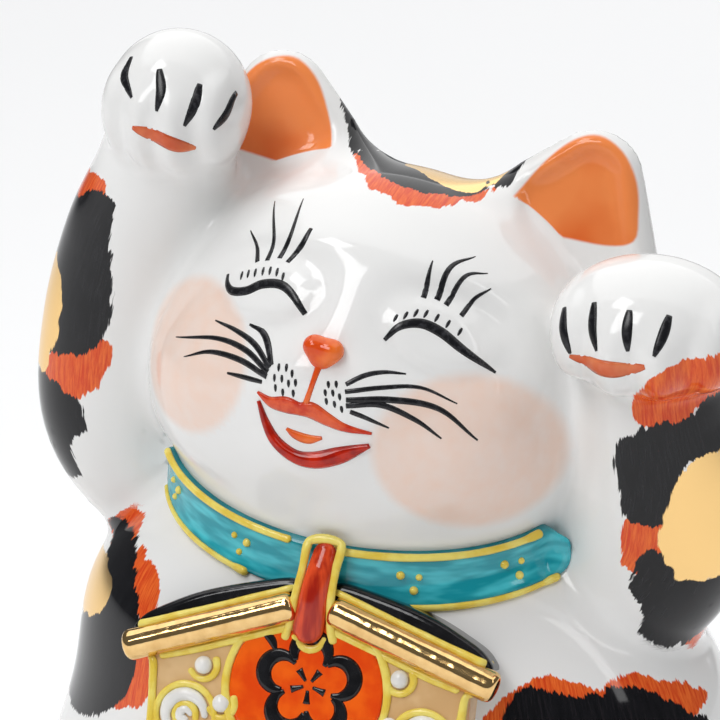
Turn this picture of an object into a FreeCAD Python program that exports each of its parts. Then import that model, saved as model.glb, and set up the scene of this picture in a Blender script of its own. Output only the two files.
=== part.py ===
"""Beckoning cat: a slip-cast porcelain figurine with both front paws raised and a votive plaque on its chest.

The row frame is in millimetres: +Z up, -Y is the way the cat faces, +X is the cat's left.
The origin is the centre of the foot ring, on the plane that the figurine stands on.
Each casting, sprig and bead of raised enamel is a solid of its own, cut to the face that it is luted or fired to.
"""

import math
import os

import FreeCAD
import Part

V = FreeCAD.Vector
os.makedirs("parts", exist_ok=True)

# ---------------------------------------------------------------- driving dimensions
WALL = 4.0  # thickness of the cast porcelain
FOOT_RING = 5.0  # width of the unglazed ring that it stands on
BASE_RECESS = 2.0  # how far the closing slab sits above the foot ring
BASE_THICK = 4.0
VENT_R = 6.0  # firing vent in the closing slab
NECK_R = 19.0  # opening between the torso and the head
NECK_PASSAGE = (84.0, 106.0)  # the heights between which that opening runs

HEAD_CENTRE = V(1.0, -9.0, 128.0)
HEAD_RADII = (40.0, 33.5, 33.0)
HEAD_TILT = 8.5  # the head leans towards the cat's left

# height, half width, half depth, centre in y
TORSO_SECTIONS = [
    (0.0, 46.0, 39.0, 0.0),
    (7.0, 53.0, 45.0, 1.0),
    (24.0, 58.0, 48.5, 2.0),
    (44.0, 60.0, 47.5, 2.0),
    (62.0, 59.5, 43.5, 1.0),
    (78.0, 56.0, 38.5, -1.0),
    (91.0, 44.0, 32.0, -4.0),
    (100.0, 31.0, 25.0, -5.0),
]
HAUNCH = {"centre": (35.0, -14.0, 27.0), "radii": (25.0, 31.0, 26.0)}
FOOT = {"centre": (23.0, -38.0, 9.5), "radii": (15.5, 17.0, 11.0)}

# centre of each section and its radius, from the elbow up; the paw is a ball on the end
RIGHT_ARM = [
    (-36.0, 1.0, 90.0, 6.0),
    (-41.0, 0.5, 95.0, 11.5),
    (-46.5, 0.0, 101.5, 15.0),
    (-50.0, -2.0, 111.0, 16.2),
    (-49.0, -6.0, 127.0, 15.8),
    (-45.5, -10.5, 143.0, 14.4),
    (-40.5, -15.5, 156.0, 12.6),
    (-37.0, -19.5, 164.0, 11.0),
]
RIGHT_PAW = {"centre": (-35.5, -23.0, 170.5), "radii": (13.2, 14.2, 13.4)}
LEFT_ARM = [
    (38.0, 0.0, 76.0, 6.0),
    (43.0, -1.5, 83.0, 11.5),
    (48.5, -3.5, 90.0, 15.6),
    (53.5, -6.5, 101.0, 17.3),
    (54.0, -11.0, 114.0, 16.2),
    (52.5, -16.0, 126.0, 13.8),
    (51.5, -20.0, 134.0, 11.5),
]
LEFT_PAW = {"centre": (52.0, -25.0, 141.0), "radii": (17.3, 16.5, 12.6)}

# in the head's own frame: height, half width, half thickness, centre in x, centre in y
EAR_SECTIONS = [
    (16.0, 16.5, 8.0, 27.0, 7.0),
    (26.0, 16.0, 7.2, 28.0, 7.0),
    (35.0, 12.5, 6.2, 28.8, 7.0),
    (43.0, 7.8, 4.6, 29.5, 7.0),
    (48.3, 2.8, 1.8, 30.0, 7.0),
]
EAR_HOLLOW = 2.2  # depth of the dish in the front of each ear

TAIL_POINTS = [(4.0, 44.0, 12.0), (-14.0, 49.5, 13.0), (-31.0, 45.0, 20.0), (-38.0, 35.5, 34.0)]
TAIL_R = 8.0

COLLAR_CENTRE = V(-1.5, -6.0, 104.5)
COLLAR_HALF = (41.0, 34.0)  # half width and half depth of the band's middle line
COLLAR_PITCH = 21.0  # the band rises towards the back
COLLAR_ROLL = 3.5  # and towards the cat's right
COLLAR_HEIGHT = 7.2
COLLAR_THICK = 5.0
COLLAR_FRONT_SPAN = (-164.0, -16.0)  # from the right arm round the throat to the left arm
COLLAR_BACK_SPAN = (28.0, 152.0)
TRIM_R = 0.9  # radius of a trailed enamel bead

PLAQUE_CENTRE = V(0.5, -43.0, 73.5)  # centre of the sun disc, on the board's face
PLAQUE_LEAN = 14.0  # the plaque leans back with the chest
PLAQUE_ROLL = 2.0  # and hangs a little higher on the cat's left
BOARD_HALF = 28.5
BOARD_BOTTOM = -22.5
EAVE_HALF = 33.5
EAVE_V = 1.4  # height of the lower edge of the gold bar at its outer end
RIDGE_V = 12.9  # the same at the middle
BAR_R = 2.6
BOARD_DEEP = 9.0
SUN_R = 13.9
SUN_THICK = 0.6
PEARL_R = 1.55
HANGER_HALF = 2.3
HANGER_SPAN = (10.5, 25.5)
HANGER_OUT = 0.8  # how far the middle of the strap stands off the board
BAR_GAP = 1.2  # between the strap and the inner end of a bar
BAR_OUT = 0.6  # how far the middle of a bar stands off the board
EAVE_LOW = 0.4  # where an eave starts above its bar's middle line
EAVE_LIP = 1.0  # what shows of the eave above the bar at its ends
EAVE_BELLY = 3.1  # and at its thickest
EAVE_BELLY_AT = 0.58  # how far along the bar that is
EAVE_BACK = 2.0  # the eave stops this far short of the board's back


# ---------------------------------------------------------------- helpers
def placement(centre, rotation):
    return FreeCAD.Placement(V(*centre), rotation)


def turn(axis, degrees):
    return FreeCAD.Rotation(V(*axis), degrees)


HEAD_PLACE = placement(HEAD_CENTRE, turn((0, 1, 0), HEAD_TILT))
COLLAR_PLACE = placement(
    COLLAR_CENTRE, turn((0, 1, 0), COLLAR_ROLL).multiply(turn((1, 0, 0), COLLAR_PITCH))
)
# the plaque's own frame has x to the cat's left, y up the plaque and z out of its face
PLAQUE_PLACE = placement(
    PLAQUE_CENTRE, turn((1, 0, 0), 90.0 - PLAQUE_LEAN).multiply(turn((0, 0, 1), PLAQUE_ROLL))
)


def ellipsoid(centre, radii, place=None):
    """A ball stretched to three radii, in the frame of place."""
    matrix = FreeCAD.Matrix()
    matrix.scale(V(*radii))
    shape = Part.makeSphere(1.0).transformGeometry(matrix)
    shape.translate(V(*centre))
    if place:
        shape = placed(shape, place)
    return shape


def placed(shape, place):
    moved = shape.copy()
    moved.Placement = place.multiply(shape.Placement)
    return moved


def oval_wire(height, half_width, half_depth, centre_x, centre_y):
    """An ellipse in a level plane, whichever way round it is longer."""
    centre = V(centre_x, centre_y, height)
    if half_width >= half_depth:
        curve = Part.Ellipse(centre + V(half_width, 0, 0), centre + V(0, half_depth, 0), centre)
    else:
        curve = Part.Ellipse(centre + V(0, half_depth, 0), centre + V(-half_width, 0, 0), centre)
    return Part.Wire([curve.toShape()])


def oval_loft(sections, inset=0.0):
    wires = [oval_wire(h, a - inset, b - inset, cx, cy) for h, a, b, cx, cy in sections]
    return Part.makeLoft(wires, True, False)


def limb(sections, inset=0.0):
    """A smooth tube through round sections that stand across its middle line."""
    points = [V(*s[:3]) for s in sections]
    wires = []
    for i, section in enumerate(sections):
        before, after = points[max(i - 1, 0)], points[min(i + 1, len(points) - 1)]
        radius = max(section[3] - inset, 1.0)
        wires.append(Part.Wire([Part.makeCircle(radius, points[i], (after - before).normalize())]))
    return Part.makeLoft(wires, True, False)


def outward(shape):
    """The same solid with its faces turned outward."""
    if shape.Volume < 0:
        shape.reverse()
    return shape


def bead(points, radius, smooth=True):
    """A trailed line of enamel: a round tube along a curve, with a ball on each end."""
    knots = [V(*p) for p in points]
    if smooth and len(knots) > 2:
        curve = Part.BSplineCurve()
        curve.interpolate(knots)
        path = Part.Wire([curve.toShape()])
        start = curve.tangent(curve.FirstParameter)[0]
    else:
        path = Part.makePolygon(knots)
        start = knots[1] - knots[0]
    ring = Part.Wire([Part.makeCircle(radius, knots[0], start)])
    tube = outward(path.makePipeShell([ring], True, True))
    return fused([tube] + [Part.makeSphere(radius, k) for k in (knots[0], knots[-1])])


def fused(shapes):
    return shapes[0].multiFuse(shapes[1:]) if len(shapes) > 1 else shapes[0]


def cut_by(shape, *tools):
    for tool in tools:
        shape = shape.cut(tool)
    return shape


def solids_of(shape, smallest=0.02):
    """The solids of a cut, without crumbs."""
    return Part.makeCompound([s for s in shape.Solids if s.Volume > smallest])


def arc_points(centre, radius, start, end, count, lift=0.0):
    """Points of a round arc on the plaque's face, in degrees."""
    found = []
    for i in range(count):
        a = math.radians(start + (end - start) * i / (count - 1))
        found.append((centre[0] + radius * math.cos(a), centre[1] + radius * math.sin(a), lift))
    return found


def save(name, shape):
    shape = solids_of(shape)
    shape.exportStep(f"parts/{name}.step")
    volume = sum(s.Volume for s in shape.Solids)
    print(f"{name}: {len(shape.Solids)} solid(s), {volume:.1f} mm3, valid {shape.isValid()}")


# ---------------------------------------------------------------- the castings
def torso_sections():
    return [(h, a, b, 0.0, cy) for h, a, b, cy in TORSO_SECTIONS]


def side_pair(part, inset=0.0):
    """An ellipsoid on each side of the middle, such as the haunches."""
    pair = []
    for side in (-1, 1):
        x, y, z = part["centre"]
        pair.append(ellipsoid((side * x, y, z), [r - inset for r in part["radii"]]))
    return pair


def above_table(shape):
    return shape.cut(Part.makeBox(400, 400, 100, V(-200, -200, -100)))


def torso_solid():
    """The outside of the torso with its haunches and hind feet, as one solid."""
    lumps = [oval_loft(torso_sections())] + side_pair(HAUNCH) + side_pair(FOOT)
    return above_table(fused(lumps))


def torso_cavity():
    """The hollow that the poured slip leaves, from the foot ring to the neck."""
    sections = torso_sections()
    _, a, b, cx, cy = sections[0]
    sections[0] = (-1.0, a - FOOT_RING + WALL, b - FOOT_RING + WALL, cx, cy)
    top = sections[-1]
    sections[-1] = (top[0] - WALL, top[1], top[2], top[3], top[4])
    return oval_loft(sections, WALL)


def neck_passage():
    low, high = NECK_PASSAGE
    return Part.makeCylinder(NECK_R, high - low, V(HEAD_CENTRE.x, -5.0, low))


def head_solid(inset=0.0):
    return ellipsoid((0, 0, 0), [r - inset for r in HEAD_RADII], HEAD_PLACE)


def arm_solid(sections, paw, inset=0.0):
    radii = [r - inset for r in paw["radii"]]
    return fused([limb(sections, inset), ellipsoid(paw["centre"], radii)])


def ear_solid(side):
    """A rounded triangular ear with a shallow dish in its front, side -1 or 1."""
    blank = oval_loft([(h, a, b, side * cx, cy) for h, a, b, cx, cy in EAR_SECTIONS])
    dish = oval_loft(
        [(h - 3.0, a - 3.6, b, side * cx, cy - 2 * b + EAR_HOLLOW) for h, a, b, cx, cy in EAR_SECTIONS[1:4]]
    )
    return placed(blank.cut(dish), HEAD_PLACE)


def base_slab():
    """The slab that closes the torso from below, with its vent."""
    _, a, b, cy = TORSO_SECTIONS[0]
    wire = oval_wire(BASE_RECESS, a - FOOT_RING - 0.2, b - FOOT_RING - 0.2, 0.0, cy)
    slab = Part.Face(wire).extrude(V(0, 0, BASE_THICK))
    vent = Part.makeCylinder(VENT_R, 3 * BASE_THICK, V(0, cy, -BASE_THICK))
    return slab.cut(vent)


torso_outer = torso_solid()
head_outer = head_solid()
right_arm_outer = arm_solid(RIGHT_ARM, RIGHT_PAW)
left_arm_outer = arm_solid(LEFT_ARM, LEFT_PAW)
slab = base_slab()
passage = neck_passage()

torso = cut_by(torso_outer, torso_cavity(), passage, slab)
head = cut_by(head_outer, head_solid(WALL), torso_outer, passage)
save("torso_casting", torso)
save("base_slab", slab)
save("head_casting", head)

for name, sections, paw, outer in (
    ("right_arm_casting", RIGHT_ARM, RIGHT_PAW, right_arm_outer),
    ("left_arm_casting", LEFT_ARM, LEFT_PAW, left_arm_outer),
):
    save(name, cut_by(outer, arm_solid(sections, paw, WALL), torso_outer, head_outer))

for name, side, arm in (("right_ear", -1, right_arm_outer), ("left_ear", 1, left_arm_outer)):
    save(name, cut_by(ear_solid(side), head_outer, arm))

tail = bead(TAIL_POINTS, TAIL_R)
save("tail", cut_by(above_table(tail), torso_outer))


# ---------------------------------------------------------------- the collar
def collar_point(angle, out=0.0, up=0.0):
    """A point beside the collar's middle line, in the collar's own frame."""
    a = math.radians(angle)
    return V((COLLAR_HALF[0] + out) * math.cos(a), (COLLAR_HALF[1] + out) * math.sin(a), up)


def collar_curve(span, out, up, count=13):
    angles = [span[0] + (span[1] - span[0]) * i / (count - 1) for i in range(count)]
    return [tuple(collar_point(a, out, up)) for a in angles]


def collar_band(span):
    """A strap with a gently rounded face, as a ring cut to its span."""
    half_height, half_thick = COLLAR_HEIGHT / 2, COLLAR_THICK / 2
    knots = [V(*p) for p in collar_curve(span, -half_thick, 0.0)]
    path = Part.BSplineCurve()
    path.interpolate(knots)
    tangent = path.tangent(path.FirstParameter)[0]
    out = tangent.cross(V(0, 0, 1)).normalize()
    start, up = knots[0], V(0, 0, 1)
    corners = [start - up * half_height, start + up * half_height]
    inner = [c - out * half_thick for c in corners]
    outer = [c + out * half_thick * 0.75 for c in corners]
    crown = start + out * half_thick * 1.2
    profile = Part.Wire(
        [
            Part.makeLine(inner[0], inner[1]),
            Part.makeLine(inner[1], outer[1]),
            Part.Arc(outer[1], crown, outer[0]).toShape(),
            Part.makeLine(outer[0], inner[0]),
        ]
    )
    return outward(Part.Wire([path.toShape()]).makePipeShell([profile], True, True))


body_outers = (torso_outer, head_outer, right_arm_outer, left_arm_outer)
front_band = cut_by(placed(collar_band(COLLAR_FRONT_SPAN), COLLAR_PLACE), *body_outers)
back_band = cut_by(placed(collar_band(COLLAR_BACK_SPAN), COLLAR_PLACE), *body_outers)

BOARD_OUTLINE = [
    (-BOARD_HALF, BOARD_BOTTOM),
    (BOARD_HALF, BOARD_BOTTOM),
    (BOARD_HALF + 0.8, EAVE_V + 1.5),
    (0.0, RIDGE_V + 2.0),
    (-BOARD_HALF - 0.8, EAVE_V + 1.5),
]


def flat_plate(outline, low, high):
    """A plate on the plaque with straight edges, between two depths."""
    corners = [V(x, y, low) for x, y in outline]
    return Part.Face(Part.makePolygon(corners + corners[:1])).extrude(V(0, 0, high - low))


board_local = flat_plate(BOARD_OUTLINE, -BOARD_DEEP, 0.0)
board = cut_by(placed(board_local, PLAQUE_PLACE), torso_outer, head_outer, front_band)


def bar_ends(side):
    """Middle line of a gold bar from the hanger out to the eave, on the plaque's face."""
    slope = (RIDGE_V - EAVE_V) / EAVE_HALF
    inner_u = HANGER_HALF + BAR_GAP
    inner = V(side * inner_u, RIDGE_V - slope * inner_u + BAR_R, BAR_OUT)
    outer = V(side * EAVE_HALF, EAVE_V + BAR_R, BAR_OUT)
    return inner, outer


def gold_bar(side):
    inner, outer = bar_ends(side)
    return Part.makeCylinder(BAR_R, (outer - inner).Length, inner, outer - inner)


def eave_strip(side):
    """The dark lip above a gold bar, thickest beyond its middle."""
    inner, outer = bar_ends(side)
    along = outer - inner
    up = V(0, 0, 1).cross(along).normalize() * side
    low_in, low_out = inner + up * EAVE_LOW, outer + up * EAVE_LOW
    high_in, high_out = inner + up * (BAR_R + EAVE_LIP), outer + up * (BAR_R + EAVE_LIP)
    middle = inner + along * EAVE_BELLY_AT + up * (BAR_R + EAVE_BELLY)
    for corner in (low_in, low_out, high_in, high_out, middle):
        corner.z = EAVE_BACK - BOARD_DEEP
    profile = Part.Wire(
        [
            Part.makeLine(low_in, low_out),
            Part.makeLine(low_out, high_out),
            Part.Arc(high_out, middle, high_in).toShape(),
            Part.makeLine(high_in, low_in),
        ]
    )
    return Part.Face(profile).extrude(V(0, 0, BOARD_DEEP - BAR_OUT))


def hanger_strap():
    """The loop that holds the plaque to the collar, a half-round strap with rounded ends."""
    low, high = HANGER_SPAN
    shaft = Part.makeCylinder(HANGER_HALF, high - low, V(0, low, HANGER_OUT), V(0, 1, 0))
    ends = [Part.makeSphere(HANGER_HALF, V(0, v, HANGER_OUT)) for v in (low, high)]
    return fused([shaft] + ends)


def hanger_outline():
    """The bead round the strap: up one side, over the collar and down the other."""
    low, high = HANGER_SPAN
    half = HANGER_HALF + 0.7
    return bead(
        [(-half - 0.5, low + 1.5, 0.6), (-half, low + 8.0, 0.9), (-half, high - 1.5, 1.6)]
        + [(0.0, high + 3.0, 1.2)]
        + [(half, high - 1.5, 1.6), (half, low + 8.0, 0.9), (half + 0.5, low + 1.5, 0.6)],
        TRIM_R,
    )


hanger = placed(hanger_strap(), PLAQUE_PLACE)
bars = {side: placed(gold_bar(side), PLAQUE_PLACE) for side in (-1, 1)}
hanger_ring = placed(hanger_outline(), PLAQUE_PLACE)
hanger = cut_by(hanger, torso_outer, head_outer, front_band, board)
hanger_ring = cut_by(hanger_ring, torso_outer, head_outer, front_band, board, hanger)

save("collar_band_front", cut_by(front_band, board))
save("collar_band_back", back_band)
save("hanger_strap", hanger)
save("hanger_outline", hanger_ring)


def collar_trim(span, up):
    return placed(bead(collar_curve(span, 0.2, up), TRIM_R), COLLAR_PLACE)


TRIM_UP = COLLAR_HEIGHT / 2 - 0.5
TRIMS = {
    "collar_trim_upper_right": ((-163.0, -97.0), TRIM_UP),
    "collar_trim_upper_left": ((-79.0, -20.0), TRIM_UP),
    "collar_trim_lower_right": ((-160.0, -107.0), -TRIM_UP),
    "collar_trim_lower_left": ((-66.0, -20.0), -TRIM_UP),
    "collar_trim_upper_back": ((34.0, 146.0), TRIM_UP),
    "collar_trim_lower_back": ((34.0, 146.0), -TRIM_UP),
}
for name, (span, up) in TRIMS.items():
    trim = cut_by(collar_trim(span, up), *body_outers)
    save(name, cut_by(trim, front_band, back_band, board, hanger, hanger_ring))

DOT_R = 0.85
DOT_ANGLES = (-148.0, -114.0, -61.0, -33.0, 50.0, 90.0, 130.0)
DOT_STEP = 2.6  # degrees along the band
DOT_TRIO = ((-1.0, 0.9), (0.9, 0.6), (0.2, -1.5))  # steps along the band, and millimetres up it
dots = []
for angle in DOT_ANGLES:
    for step, up in DOT_TRIO:
        middle = collar_point(angle + step * DOT_STEP, 0.5, up)
        outward_axis = collar_point(angle + step * DOT_STEP) - collar_point(angle + step * DOT_STEP, -1.0)
        dots.append(placed(Part.makeSphere(DOT_R, middle, outward_axis), COLLAR_PLACE))
dots = Part.makeCompound([cut_by(d, front_band, back_band) for d in dots])
save("collar_dots", dots)


# ---------------------------------------------------------------- the plaque
for name, side in (("gold_bar_right", -1), ("gold_bar_left", 1)):
    save(name, cut_by(bars[side], board, hanger, hanger_ring, torso_outer))
for name, side in (("eave_right", -1), ("eave_left", 1)):
    strip = placed(eave_strip(side), PLAQUE_PLACE)
    save(name, cut_by(strip, torso_outer, head_outer, front_band, board, bars[side], hanger, hanger_ring))
save("plaque_board", board)


def on_board(shape, *others):
    """Places raised enamel on the board and cuts away what would sink into it."""
    return cut_by(placed(shape, PLAQUE_PLACE), board, bars[-1], bars[1], hanger, hanger_ring, *others)


sun = on_board(Part.makeCylinder(SUN_R, SUN_THICK, V(0, 0, 0)))
save("sun_disc", sun)

sun_rim = fused(
    [
        bead(arc_points((0, 0), SUN_R + 0.7, start, end, 9, 0.1), TRIM_R)
        for start, end in ((112, 236), (-56, 68))
    ]
)
sun_rim = on_board(sun_rim, sun)
save("sun_rim", sun_rim)


def board_edge(side):
    """The bead that runs under a gold bar and down the side of the board."""
    edge = BOARD_HALF - 0.9
    slope = (RIDGE_V - EAVE_V) / EAVE_HALF
    inner = (side * 5.0, RIDGE_V - slope * 5.0 - 0.7, 0.1)
    corner = (side * edge, EAVE_V - 0.4, 0.1)
    foot = (side * (edge - 0.4), BOARD_BOTTOM + 0.9, 0.1)
    return fused([bead([inner, corner], TRIM_R, False), bead([corner, foot], TRIM_R, False)])


edges = [board_edge(side) for side in (-1, 1)]
edges.append(
    bead([(side * (BOARD_HALF - 1.3), BOARD_BOTTOM + 0.9, 0.1) for side in (-1, 1)], TRIM_R, False)
)
board_rim = on_board(fused(edges), sun, sun_rim)
save("board_rim", board_rim)

PEARLS = [(17.8, 3.0), (15.6, -4.0), (19.5, -15.5), (11.5, -18.0)]
pearls, cups = [], []
for u, v in [(side * u, v) for u, v in PEARLS for side in (-1, 1)]:
    pearls.append(Part.makeSphere(PEARL_R, V(u, v, 0.3)))
    cups.append(bead(arc_points((u, v), PEARL_R + 0.75, -170, 10, 7, 0.1), TRIM_R * 0.8))
pearl_group = on_board(Part.makeCompound(pearls), sun, sun_rim, board_rim)
save("pearls", pearl_group)
save("pearl_cups", on_board(Part.makeCompound(cups), sun, sun_rim, board_rim, pearl_group))

SCROLL_CENTRE = (21.6, -6.4)
white_scrolls, gold_scrolls = [], []
for side in (-1, 1):
    centre = (side * SCROLL_CENTRE[0], SCROLL_CENTRE[1])
    lean = 20.0 * side
    white_scrolls.append(bead(arc_points(centre, 3.4, 185 - lean, -10 - lean, 9, 0.1), 1.05))
    gold_scrolls.append(bead(arc_points(centre, 5.2, 185 - lean, -10 - lean, 9, 0.1), TRIM_R * 0.8))
    gold_scrolls.append(bead(arc_points(centre, 1.4, 200 - lean, -25 - lean, 7, 0.1), TRIM_R * 0.8))
white_group = on_board(Part.makeCompound(white_scrolls), sun, sun_rim, board_rim, pearl_group)
save("scrolls_white", white_group)
save("scrolls_yellow", on_board(Part.makeCompound(gold_scrolls), sun, sun_rim, board_rim, white_group))

# a generic plum blossom in raised black enamel: five petals round an open heart, over a short twig
PETAL_RING, PETAL_R, PETAL_SPREAD = 5.2, 2.7, 118
HEART_R, STROKE_R = 2.0, 0.8
blossom = [bead(arc_points((0, 0), HEART_R, 20, 320, 9, SUN_THICK), STROKE_R)]
for k in range(5):
    turned = 90 + 72 * k
    a = math.radians(turned)
    middle = (PETAL_RING * math.cos(a), PETAL_RING * math.sin(a))
    arc = arc_points(middle, PETAL_R, turned - PETAL_SPREAD, turned + PETAL_SPREAD, 9, SUN_THICK)
    blossom.append(bead(arc, STROKE_R))
blossom.append(bead([(-9.5, -9.0, SUN_THICK), (-2.0, -10.8, SUN_THICK), (8.5, -8.4, SUN_THICK)], STROKE_R))
blossom = Part.makeCompound([cut_by(placed(b, PLAQUE_PLACE), sun, board) for b in blossom])
save("blossom_motif", blossom)


# ---------------------------------------------------------------- raised enamel of the face
def on_head(point, out=0.0):
    """The point of the head's surface in front of (x, z), in the head's own frame."""
    x, z = point
    a, b, c = HEAD_RADII
    depth = b * math.sqrt(max(1 - (x / a) ** 2 - (z / c) ** 2, 0.0))
    return (x, -depth - out, z)


LIP_PROUD = 0.5  # how far a lip's middle line stands off the skin
NOSE = {"at": (-0.8, 6.2), "radii": (3.7, 3.4, 3.1)}
nose_blank = ellipsoid(on_head(NOSE["at"], 0.8), NOSE["radii"], HEAD_PLACE)
save("nose", cut_by(nose_blank, head_outer))


def face_bead(points, radius):
    return placed(bead([on_head(p, LIP_PROUD) for p in points], radius), HEAD_PLACE)


upper_lip = face_bead([(-10.5, -4.2), (-5.5, -6.0), (0.0, -6.6), (5.0, -7.2), (9.5, -8.2)], 1.5)
lower_lip = face_bead([(-10.2, -6.8), (-7.0, -12.2), (-0.5, -15.0), (5.5, -13.4), (9.3, -9.8)], 1.5)
tongue = ellipsoid(on_head((-1.5, -10.0), 0.0), (3.2, 0.9, 1.4), HEAD_PLACE)
save("upper_lip", cut_by(upper_lip, head_outer))
save("lower_lip", cut_by(lower_lip, head_outer, upper_lip))
save("tongue", cut_by(tongue, head_outer, upper_lip, lower_lip))
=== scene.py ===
"""Beckoning cat, porcelain: the visual model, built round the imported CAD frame.

The castings are one smooth distance field, in millimetres, that is meshed once and parted along the joins of
the real castings. Painted patches are distances carried by the vertices, which the porcelain's shader turns
into brushed edges. Brush lines, trailed enamel and sprigs are thin solids laid on that same field.
"""
import math

import bpy
import numpy as np
from mathutils import Matrix, Vector


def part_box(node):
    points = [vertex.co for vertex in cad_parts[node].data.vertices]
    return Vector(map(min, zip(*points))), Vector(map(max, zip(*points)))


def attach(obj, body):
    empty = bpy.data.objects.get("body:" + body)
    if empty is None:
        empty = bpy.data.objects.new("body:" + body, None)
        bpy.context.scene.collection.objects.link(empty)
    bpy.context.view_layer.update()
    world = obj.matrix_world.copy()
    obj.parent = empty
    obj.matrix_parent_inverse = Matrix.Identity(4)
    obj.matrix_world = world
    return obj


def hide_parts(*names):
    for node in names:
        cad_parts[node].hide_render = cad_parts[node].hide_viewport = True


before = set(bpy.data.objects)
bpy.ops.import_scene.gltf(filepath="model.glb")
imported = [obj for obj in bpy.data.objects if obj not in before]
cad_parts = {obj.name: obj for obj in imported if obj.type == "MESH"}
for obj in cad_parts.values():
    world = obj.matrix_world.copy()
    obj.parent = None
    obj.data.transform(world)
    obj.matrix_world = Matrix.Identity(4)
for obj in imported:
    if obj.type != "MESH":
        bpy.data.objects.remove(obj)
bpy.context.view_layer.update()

MM = 0.001
# ================================================================ shape of the porcelain, in millimetres
def turn(axis, degrees):
    """A rotation matrix for points held as rows: points @ matrix goes into the turned frame."""
    a = math.radians(degrees)
    x, y, z = np.array(axis, float) / np.linalg.norm(axis)
    c, s = math.cos(a), math.sin(a)
    return np.array([
        [c + x * x * (1 - c), x * y * (1 - c) - z * s, x * z * (1 - c) + y * s],
        [y * x * (1 - c) + z * s, c + y * y * (1 - c), y * z * (1 - c) - x * s],
        [z * x * (1 - c) - y * s, z * y * (1 - c) + x * s, c + z * z * (1 - c)],
    ])


HEAD_AT = np.array([1.0, -9.0, 128.0])
HEAD_SPIN = turn((0, 1, 0), 8.5)

# centre of each section and its radius, from inside the torso up to the wrist
RIGHT_ARM = [(-38, 1, 92, 11), (-45.5, 0, 100, 14.6), (-50, -2, 111, 16.2), (-49, -6, 127, 15.8),
             (-45.5, -10.5, 143, 14.4), (-40.5, -15.5, 156, 12.6), (-37, -19.5, 166, 11.5)]
LEFT_ARM = [(40, 0, 80, 11), (48, -3, 89, 15.5), (53.5, -6.5, 101, 17.3), (54, -11, 114, 16.2),
            (52.5, -16, 126, 13.8), (51.5, -20, 136, 12)]
RIGHT_PAW = {"at": (-35.5, -23, 170.5), "radii": (12.8, 13.6, 13.2), "dip": 35.0}
LEFT_PAW = {"at": (52, -25, 141), "radii": (17, 16, 12.4), "dip": 25.0}
TAIL = [(6, 40, 12, 7.5), (-14, 47.5, 12.5, 8), (-31, 44, 19, 8.2), (-38, 35.5, 32, 7.6), (-36, 31, 42, 6.4)]
EAR_PLANE = 7.0
# corners of the ear, inside its rounding, as distance from the head's middle and height
EAR_CORNERS = [(14.5, 19.0), (22.5, 32.5), (29.5, 39.4), (37.5, 19.0)]
EAR_ROUND = 9.0
FACE_X = -0.3  # the face's middle, in the head's frame


def to_head(p):
    return (p - HEAD_AT) @ HEAD_SPIN


def from_head(q):
    return np.asarray(q, float) @ HEAD_SPIN.T + HEAD_AT


def blend(a, b, k):
    """The nearer of two distances, with the fold between them filled over about k."""
    h = np.clip(0.5 + 0.5 * (b - a) / k, 0.0, 1.0)
    return b + (a - b) * h - k * h * (1.0 - h)


def carve(a, b, k):
    """The farther of two distances, with the edge between them rounded over about k."""
    return -blend(-a, -b, k)


def ellipsoid(p, centre, radii):
    q = p - np.array(centre, float)
    r = np.array(radii, float)
    near = np.linalg.norm(q / r, axis=-1)
    steep = np.linalg.norm(q / (r * r), axis=-1)
    return near * (near - 1.0) / np.maximum(steep, 1e-9)


def curve_terms(knots):
    """The cubic terms of each span of a smooth curve through the knots (Catmull-Rom)."""
    k = np.asarray(knots, float)
    k = np.vstack([2 * k[0] - k[1], k, 2 * k[-1] - k[-2]])
    a, b, c, d = k[:-3], k[1:-2], k[2:-1], k[3:]
    return np.stack([b, 0.5 * (c - a), a - 2.5 * b + 2 * c - 0.5 * d, 0.5 * (d - a) + 1.5 * (b - c)])


def curve_at(terms, t):
    """The curve's points and its speed at parameters t, counted in spans."""
    span = np.clip(t.astype(int), 0, terms.shape[1] - 1)
    u = (t - span)[:, None]
    a, b, c, d = terms[:, span]
    return a + u * (b + u * (c + u * d)), b + u * (2 * c + 3 * u * d)


def smooth_path(knots, steps):
    """Points of the smooth curve through the knots, with steps to each span."""
    terms = curve_terms(knots)
    return curve_at(terms, np.linspace(0, terms.shape[1], terms.shape[1] * steps + 1))[0]


def limb(p, knots):
    """Distance to a smooth tube whose knots are x, y, z and radius."""
    path = smooth_path(knots, 6)
    middle = path[:, :3].mean(axis=0)
    reach = (np.linalg.norm(path[:, :3] - middle, axis=1) + path[:, 3]).max()
    far = np.linalg.norm(p - middle, axis=-1) - reach
    found = far + 2.0
    near = far < 10.0
    if near.any():
        q = p[near]
        nearest = np.full(len(q), 1e9)
        t = np.zeros(len(q))
        for i, knot in enumerate(path):
            gap = np.linalg.norm(q - knot[:3], axis=1)
            t = np.where(gap < nearest, i / 6.0, t)
            nearest = np.minimum(nearest, gap)
        terms = curve_terms(knots)
        for _ in range(3):
            at, speed = curve_at(terms, t)
            step = ((q - at[:, :3]) * speed[:, :3]).sum(1) / (speed[:, :3] ** 2).sum(1)
            t = np.clip(t + step, 0.0, terms.shape[1])
        at, _ = curve_at(terms, t)
        found[near] = np.linalg.norm(q - at[:, :3], axis=1) - at[:, 3]
    return found


def torso(p):
    belly = ellipsoid(p, (0, 1, 38), (60.5, 47.5, 50))
    chest = ellipsoid(p, (0, -2, 74), (54, 38.5, 33))
    neck = ellipsoid(p, (-1, -5, 98), (33, 27, 16))
    elbow = ellipsoid(p, (38, 2, 58), (32, 34, 34))
    d = blend(blend(blend(belly, chest, 14), neck, 8), elbow, 10)
    for side in (-1, 1):
        d = blend(d, ellipsoid(p, (side * 35, -14, 27), (25, 31, 26)), 6)
        d = blend(d, hind_foot(p, side), 4)
    return carve(carve(d, -p[..., 2], 3.0), -foot_recess(p), 0.8)


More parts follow.
